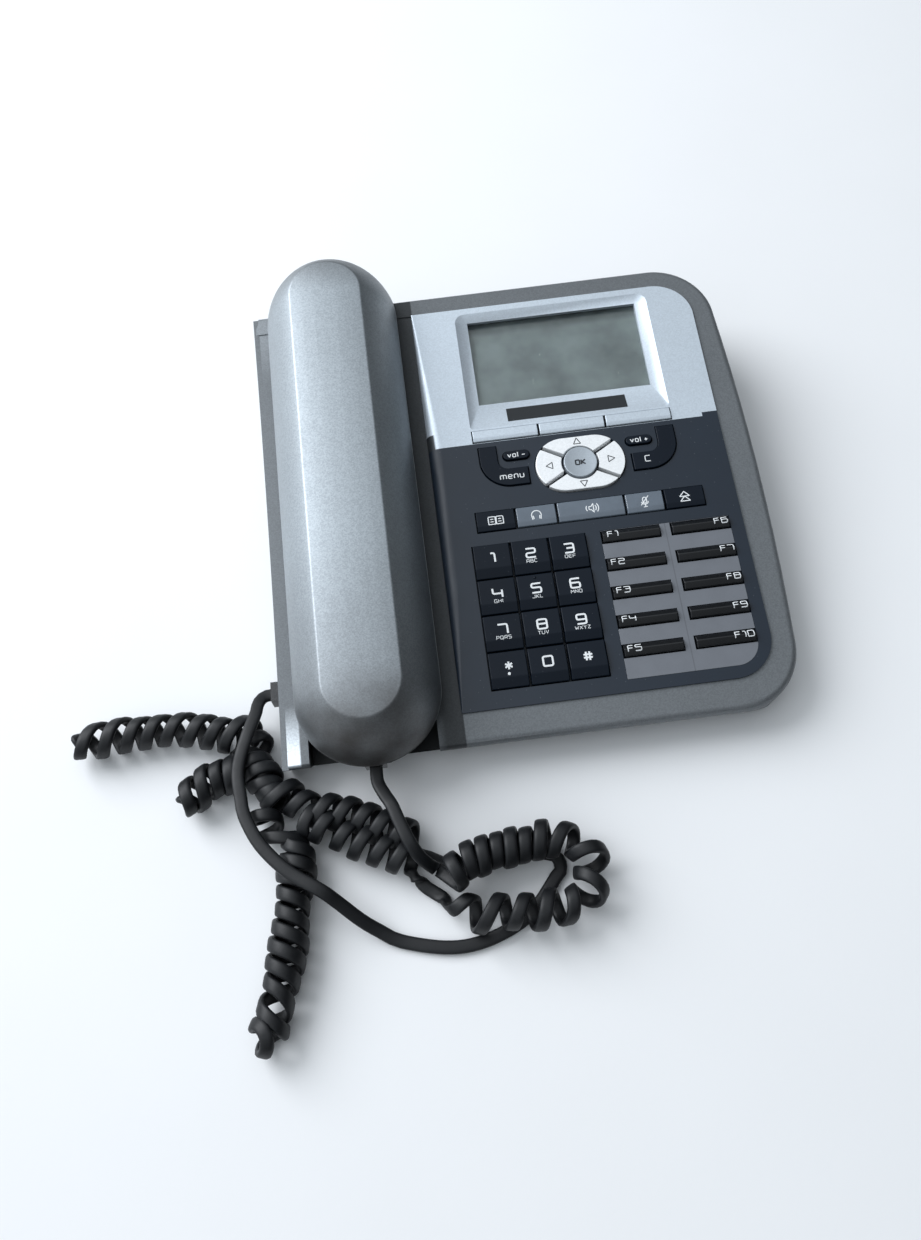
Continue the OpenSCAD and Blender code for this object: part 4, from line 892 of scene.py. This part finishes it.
# Strokes of squared digits and letters, in a box one high; W and N are a digit's and a letter's width
W = 0.94
N = 0.8
GLYPHS = {
    "0": [[(0.4, 0), (W, 0), (W, 1), (0, 1), (0, 0), (0.4, 0)]],
    "1": [[(0.1, 1), (0.5, 1), (0.5, 0)]],
    "2": [[(0, 1), (W, 1), (W, 0.5), (0, 0.5), (0, 0), (W, 0)]],
    "3": [[(0, 1), (W, 1), (W, 0), (0, 0)], [(0.2, 0.52), (W, 0.52)]],
    "4": [[(0, 1), (0, 0.42), (W, 0.42)], [(W, 0.8), (W, 0)]],
    "5": [[(W, 1), (0, 1), (0, 0.56), (W, 0.56), (W, 0), (0, 0)]],
    "6": [[(W, 1), (0, 1), (0, 0), (W, 0), (W, 0.55), (0, 0.55)]],
    "7": [[(0, 1), (W, 1), (W, 0)]],
    "8": [[(0.4, 0), (W, 0), (W, 1), (0, 1), (0, 0), (0.4, 0)], [(0, 0.53), (W, 0.53)]],
    "9": [[(0, 0), (W, 0), (W, 1), (0, 1), (0, 0.46), (W, 0.46)]],
    "star": [[(0.47, 0.15), (0.47, 0.95)], [(0.12, 0.35), (0.82, 0.75)], [(0.12, 0.75), (0.82, 0.35)]],
    "hash": [[(0.3, 0.05), (0.3, 0.95)], [(0.64, 0.05), (0.64, 0.95)],
             [(0.04, 0.34), (0.9, 0.34)], [(0.04, 0.66), (0.9, 0.66)]],
    "A": [[(0, 0), (0, 1), (N, 1), (N, 0)], [(0, 0.45), (N, 0.45)]],
    "B": [[(0, 0.5), (0, 1), (0.7, 1), (0.7, 0.52)], [(0, 0.52), (N, 0.52), (N, 0), (0, 0), (0, 0.52)]],
    "C": [[(N, 1), (0, 1), (0, 0), (N, 0)]],
    "D": [[(0, 0.5), (0, 1), (N, 1), (N, 0), (0, 0), (0, 0.5)]],
    "E": [[(N, 1), (0, 1), (0, 0), (N, 0)], [(0, 0.5), (0.7, 0.5)]],
    "F": [[(N, 1), (0, 1), (0, 0)], [(0, 0.5), (0.7, 0.5)]],
    "G": [[(N, 1), (0, 1), (0, 0), (N, 0), (N, 0.5), (0.45, 0.5)]],
    "H": [[(0, 0), (0, 1)], [(N, 0), (N, 1)], [(0, 0.5), (N, 0.5)]],
    "I": [[(0.1, 0), (0.1, 1)]],
    "J": [[(0.7, 1), (0.7, 0), (0, 0), (0, 0.25)]],
    "K": [[(0, 0), (0, 1)], [(N, 1), (0.1, 0.5), (N, 0)]],
    "L": [[(0, 1), (0, 0), (0.7, 0)]],
    "M": [[(0, 0), (0, 1), (0.45, 0.4), (0.9, 1), (0.9, 0)]],
    "N": [[(0, 0), (0, 1), (N, 0), (N, 1)]],
    "O": [[(0.4, 0), (N, 0), (N, 1), (0, 1), (0, 0), (0.4, 0)]],
    "P": [[(0, 0), (0, 1), (N, 1), (N, 0.45), (0, 0.45)]],
    "Q": [[(0.4, 0), (N, 0), (N, 1), (0, 1), (0, 0), (0.4, 0)], [(0.5, 0.3), (0.85, -0.1)]],
    "R": [[(0, 0), (0, 1), (N, 1), (N, 0.45), (0, 0.45)], [(0.4, 0.45), (N, 0)]],
    "S": [[(N, 1), (0, 1), (0, 0.55), (N, 0.55), (N, 0), (0, 0)]],
    "T": [[(0, 1), (N, 1)], [(0.4, 1), (0.4, 0)]],
    "U": [[(0, 1), (0, 0), (N, 0), (N, 1)]],
    "V": [[(0, 1), (0.4, 0), (N, 1)]],
    "W": [[(0, 1), (0.25, 0), (0.5, 0.7), (0.75, 0), (1, 1)]],
    "X": [[(0, 0), (N, 1)], [(0, 1), (N, 0)]],
    "Y": [[(0, 1), (0.4, 0.5), (N, 1)], [(0.4, 0.5), (0.4, 0)]],
    "Z": [[(0, 1), (N, 1), (0, 0), (N, 0)]],
    "m": [[(0, 0), (0, 0.7), (1, 0.7), (1, 0)], [(0.5, 0.7), (0.5, 0)]],
    "e": [[(0.62, 0), (0, 0), (0, 0.7), (0.62, 0.7), (0.62, 0.35), (0, 0.35)]],
    "n": [[(0, 0), (0, 0.7), (0.62, 0.7), (0.62, 0)]],
    "u": [[(0, 0.7), (0, 0), (0.62, 0), (0.62, 0.7)]],
    "v": [[(0, 0.7), (0.32, 0), (0.64, 0.7)]],
    "o": [[(0.3, 0), (0.62, 0), (0.62, 0.7), (0, 0.7), (0, 0), (0.3, 0)]],
    "l": [[(0.05, 1), (0.05, 0)]],
    "-": [[(0.1, 0.35), (0.7, 0.35)]],
    "+": [[(0.1, 0.35), (0.7, 0.35)], [(0.4, 0.05), (0.4, 0.65)]],
    " ": [[(0, 0), (0, 0)]],
}
LETTERS = {"2": "ABC", "3": "DEF", "4": "GHI", "5": "JKL", "6": "MNO", "7": "PQRS", "8": "TUV", "9": "WXYZ"}


def rounded(points, radius):
    """A line of points whose corners are rounded."""
    line = [Vector(points[0])]
    for a, b, c in zip(points, points[1:], points[2:]):
        a, b, c = Vector(a), Vector(b), Vector(c)
        near = b + (a - b).normalized() * min(radius, (a - b).length / 2)
        past = b + (c - b).normalized() * min(radius, (c - b).length / 2)
        line += [(1 - t) ** 2 * near + 2 * t * (1 - t) * b + t * t * past for t in (0, 0.25, 0.5, 0.75, 1)]
    return line + [Vector(points[-1])]


def fine_steps(line, step):
    """A line with points no further apart than step, so that it can follow a curved key."""
    made = [line[0]]
    for a, b in zip(line, line[1:]):
        count = max(1, math.ceil((b - a).length / step))
        made += [a.lerp(b, k / count) for k in range(1, count + 1)]
    return made


def join(bm, curve, place):
    """Adds a curve to a bmesh as a mesh, at a place in the face frame."""
    obj = bpy.data.objects.new("drawn", curve)
    bpy.context.scene.collection.objects.link(obj)
    mesh = bpy.data.meshes.new_from_object(obj.evaluated_get(bpy.context.evaluated_depsgraph_get()))
    bpy.data.objects.remove(obj)
    mesh.transform(place)
    bm.from_mesh(mesh)
    bpy.data.meshes.remove(mesh)
    bpy.data.curves.remove(curve)


def draw(bm, lines, at, scale, stroke, turn=0.0):
    """Draws strokes with round ends: lines of points scaled, turned and put at a point of the face."""
    curve = bpy.data.curves.new("strokes", "CURVE")
    curve.dimensions = "3D"
    curve.bevel_depth = stroke / 2
    curve.bevel_resolution = 2
    curve.use_fill_caps = True
    for line in lines:
        steps = fine_steps([Vector(p) * scale for p in line], 0.3 * MM)
        run = curve.splines.new("POLY")
        run.points.add(len(steps) - 1)
        for point, p in zip(run.points, steps):
            point.co = (p.x, p.y, 0, 1)
    flat = Matrix.Diagonal((1, 1, 0.1, 1))
    join(bm, curve, Matrix.Translation((at[0], at[1], 0)) @ Matrix.Rotation(turn, 4, "Z") @ flat)


def spell(bm, signs, at, height, stroke, gap=0.36):
    """Writes signs side by side, centred on a point of the face."""
    widths = [max(x for line in GLYPHS[sign] for x, _ in line) for sign in signs]
    left = at[0] - (sum(widths) + gap * (len(signs) - 1)) * height / 2
    for sign, width in zip(signs, widths):
        if sign != " ":
            lines = [rounded(line, 0.2) for line in GLYPHS[sign]]
            draw(bm, lines, (left, at[1] - height / 2), height, stroke)
        left += (width + gap) * height


def arc(centre, radius, begin, end, count=9):
    """Points on part of a circle, angles in degrees."""
    angles = [math.radians(begin + (end - begin) * k / (count - 1)) for k in range(count)]
    return [(centre[0] + radius * math.cos(a), centre[1] + radius * math.sin(a)) for a in angles]


def loop(points):
    return list(points) + [points[0]]


# Signs of the key row, drawn about their middle in a box two wide
SIGNS = {
    "phonebook_key": [line for s in (-1, 1) for line in
                      ([(s * 0.06, 0.5), (s * 0.85, 0.5), (s * 0.95, 0.4), (s * 0.95, -0.55),
                        (s * 0.06, -0.55), (s * 0.06, 0.5)],
                       [(s * 0.7, 0.15), (s * 0.3, 0.15)], [(s * 0.7, -0.2), (s * 0.3, -0.2)])],
    "headset_key": [arc((0, 0), 0.62, -20, 200, 13)] + [line for s in (-1, 1) for line in
                    ([(s * 0.6, -0.1), (s * 0.52, -0.6)], [(s * 0.42, -0.05), (s * 0.36, -0.55)])],
    "speaker_key": [loop([(-0.28, -0.22), (0, -0.22), (0.3, -0.62), (0.3, 0.62), (0, 0.22), (-0.28, 0.22)]),
                    arc((0.1, 0), 0.55, -40, 40), arc((0.1, 0), 0.85, -42, 42),
                    arc((-0.1, 0), 0.55, 140, 220)],
    "mute_key": [loop(arc((0, 0.35), 0.24, 0, 180, 7) + arc((0, 0), 0.24, 180, 360, 7)),
                 arc((0, 0.05), 0.45, 190, 350), [(0, -0.42), (0, -0.75)], [(-0.25, -0.75), (0.25, -0.75)],
                 [(-0.55, -0.5), (0.55, 0.75)]],
    "shift_key": [loop([(-0.62, foot), (0.62, foot), (0, foot + 0.67)]) for foot in (0.05, -0.62)],
}

# Height and stroke of the row's signs, of the function keys' marks, of the middle button's word and of the
# arrows, and strokes of the other words, the letters and the star's dot
SIGN = (3.1 * MM, 0.4 * MM)
MARK = (2.4 * MM, 0.38 * MM)
BUTTON_WORD = (2 * MM, 0.6 * MM)
ARROW = (1.8 * MM, 0.34 * MM)
WORD_STROKE = 0.36 * MM
LETTER_STROKE = 0.2 * MM
DOT_STROKE = 0.64 * MM

# Distance of the arrows from the ring's middle, beside it and before or behind it
ARROWS_AWAY = (12.4 * MM, 9.5 * MM)

# Words with their place on the key, as shares of its width and depth, and their height in millimetres
WORDS = [("menu_key", "menu", (0.63, 0.23), 2.4), ("clear_key", "C", (0.32, 0.24), 2.5),
         ("volume_down", "vol -", (0.5, 0.5), 2.0), ("volume_up", "vol +", (0.5, 0.5), 2.0)]


class PHONE_OT_legends(bpy.types.Operator):
    """Prints plain digits, letters and signs on the keys"""
    bl_idname = "phone.legends"
    bl_label = "Legends"

    def execute(self, context):
        sizes = context.scene.telephone_sizes
        self.lift = sizes.print_height
        for node in DIAL_KEYS:
            self.dial(node, sizes)
        for i, node in enumerate(F_KEYS):
            self.function(node, i)
        for node, lines in SIGNS.items():
            bm = bmesh.new()
            draw(bm, lines, self.place(node), *SIGN)
            self.lay(bm, node)
        for node, text, at, height in WORDS:
            bm = bmesh.new()
            spell(bm, text, self.place(node, at), height * MM, WORD_STROKE)
            self.lay(bm, node)
        self.ring()
        return {"FINISHED"}

    def place(self, node, at=(0.5, 0.5)):
        """A point of a key, at shares of its width and depth."""
        low, high = in_face(node)
        return [low[k] + (high[k] - low[k]) * at[k] for k in (0, 1)]

    def lay(self, bm, node, finish="ink"):
        lay_on(bm, surface_of(node), self.lift)
        piece(bm, node + "_print", FINISHES[finish], body_of(node))

    def dial(self, node, sizes):
        """A digit, with its letters or the star's dot under it."""
        sign = node[4:]
        u, v = self.place(node)
        bm = bmesh.new()
        spell(bm, [sign], (u, v + 0.3 * sizes.digit_height), sizes.digit_height, sizes.digit_stroke)
        if sign in LETTERS:
            under = v - 0.2 * sizes.digit_height - 1.5 * MM
            spell(bm, LETTERS[sign], (u, under), sizes.letter_height, LETTER_STROKE)
        if sign == "star":
            draw(bm, [arc((0, 0), 0.3, 0, 360)], (u, v - 1.9 * MM), MM, DOT_STROKE)
        self.lay(bm, node)

    def function(self, node, i):
        """A function key's mark: at the left end of the first five keys, at the right end of the others."""
        low, high = in_face(node)
        half = 3.3 * MM if i == 9 else 2.3 * MM
        u = low.x + 1.9 * MM + half if i < 5 else high.x - 1.4 * MM - half
        bm = bmesh.new()
        spell(bm, "F" + str(i + 1), (u, (low.y + high.y) / 2 + 0.5 * MM), *MARK)
        self.lay(bm, node)

    def ring(self):
        """The word on the middle button and the arrows round it."""
        centre = self.place("ok_key")
        bm = bmesh.new()
        spell(bm, "OK", centre, *BUTTON_WORD)
        self.lay(bm, "ok_key", "dark_ink")
        arrow = loop([(-0.8, -0.6), (0.8, -0.6), (0, 0.85)])
        for k, node in enumerate(RING_KEYS):
            away = ARROWS_AWAY[k % 2]
            angle = math.radians(90 * k)
            at = (centre[0] + away * math.cos(angle), centre[1] + away * math.sin(angle))
            bm = bmesh.new()
            draw(bm, [arrow], at, *ARROW, angle - math.pi / 2)
            self.lay(bm, node, "dark_ink")


# Size and place of the strip on the face, and the case screws' distance from the lower shell's sides
STRIP_SIZE = (49.6 * MM, 6.9 * MM)
STRIP_PLACE = (27.5 * MM, 36.4 * MM)
SCREW_INSET = (36 * MM, 12 * MM)


class PHONE_OT_small_parts(bpy.types.Operator):
    """Adds the bare strip under the display, the pip on the middle key and the case screws"""
    bl_idname = "phone.small_parts"
    bl_label = "Small parts"

    def execute(self, context):
        self.strip()
        self.pip()
        self.screws(context.scene.telephone_sizes.screw_head)
        return {"FINISHED"}

    def strip(self):
        """A thin bare strip on the lower slope of the display's recess."""
        bm = bmesh.new()
        bmesh.ops.create_grid(bm, x_segments=12, y_segments=4, size=0.5)
        bmesh.ops.scale(bm, vec=(*STRIP_SIZE, 1), verts=bm.verts)
        bmesh.ops.translate(bm, vec=(*STRIP_PLACE, 0), verts=bm.verts)
        lay_on(bm, surface_of("display_fascia"), 0.12 * MM)
        bmesh.ops.solidify(bm, geom=bm.faces[:], thickness=0.11 * MM)
        bmesh.ops.recalc_face_normals(bm, faces=bm.faces)
        piece(bm, "bare_strip", FINISHES["strip"], "base")

    def pip(self):
        """The raised dot that a finger finds on the middle key."""
        low, high = in_face("key_5")
        u, v = (low.x + high.x) / 2, high.y - 1.6 * MM
        bm = bmesh.new()
        bmesh.ops.create_uvsphere(bm, u_segments=16, v_segments=8, radius=0.55 * MM)
        bmesh.ops.scale(bm, vec=(1, 1, 0.7), verts=bm.verts)
        bmesh.ops.translate(bm, vec=(u, v, height_at(surface_of("key_5"), u, v)), verts=bm.verts)
        bmesh.ops.transform(bm, matrix=FACE, verts=bm.verts)
        piece(bm, "key_5_pip", FINISHES["key"], body_of("key_5"))

    def screws(self, head):
        """The rounded heads of the four screws under the case."""
        low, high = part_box("lower_shell")
        bm = bmesh.new()
        for x in (low.x + SCREW_INSET[0], high.x - SCREW_INSET[0]):
            for y in (low.y + SCREW_INSET[1], high.y - SCREW_INSET[1]):
                made = bmesh.ops.create_circle(bm, cap_ends=True, segments=24, radius=head / 2)
                face = made["verts"][0].link_faces[0]
                out = bmesh.ops.extrude_face_region(bm, geom=[face])
                verts = [v for v in out["geom"] if isinstance(v, bmesh.types.BMVert)]
                bmesh.ops.translate(bm, vec=(0, 0, -1.3 * MM), verts=verts)
                rim = [e for e in bm.edges if all(v in verts for v in e.verts)]
                round_edges(bm, rim, 0.6 * MM, 4)
                moved = [v for v in bm.verts if abs(v.co.x) < head and abs(v.co.y) < head]
                bmesh.ops.translate(bm, vec=(x, y, low.z + 0.02 * MM), verts=moved)
        bmesh.ops.recalc_face_normals(bm, faces=bm.faces)
        piece(bm, "case_screws", FINISHES["steel"], "base")


class PHONE_PT_telephone(bpy.types.Panel):
    """Lists the steps and the values of the telephone"""
    bl_idname = "PHONE_PT_telephone"
    bl_label = "Telephone"
    bl_space_type = "VIEW_3D"
    bl_region_type = "UI"
    bl_category = "Telephone"

    def draw(self, context):
        for operator in OPERATORS:
            self.layout.operator(operator.bl_idname)
        for group in (context.scene.telephone_sizes, context.scene.telephone_colours):
            for name in group.__annotations__:
                self.layout.prop(group, name)


OPERATORS = [PHONE_OT_stage, PHONE_OT_finishes, PHONE_OT_cord, PHONE_OT_case, PHONE_OT_handset,
             PHONE_OT_window, PHONE_OT_keys, PHONE_OT_legends, PHONE_OT_small_parts]
CLASSES = [TelephoneSizes, TelephoneColours] + OPERATORS + [PHONE_PT_telephone]


def register():
    for cls in CLASSES:
        bpy.utils.register_class(cls)
    bpy.types.Scene.telephone_sizes = PointerProperty(type=TelephoneSizes)
    bpy.types.Scene.telephone_colours = PointerProperty(type=TelephoneColours)


def unregister():
    del bpy.types.Scene.telephone_colours
    del bpy.types.Scene.telephone_sizes
    for cls in reversed(CLASSES):
        bpy.utils.unregister_class(cls)


def main():
    register()
    bpy.ops.phone.stage()
    bpy.ops.phone.finishes()
    bpy.ops.phone.cord()
    bpy.ops.phone.case()
    bpy.ops.phone.handset()
    bpy.ops.phone.window()
    bpy.ops.phone.keys()
    bpy.ops.phone.legends()
    bpy.ops.phone.small_parts()


if __name__ == "__main__":
    main()
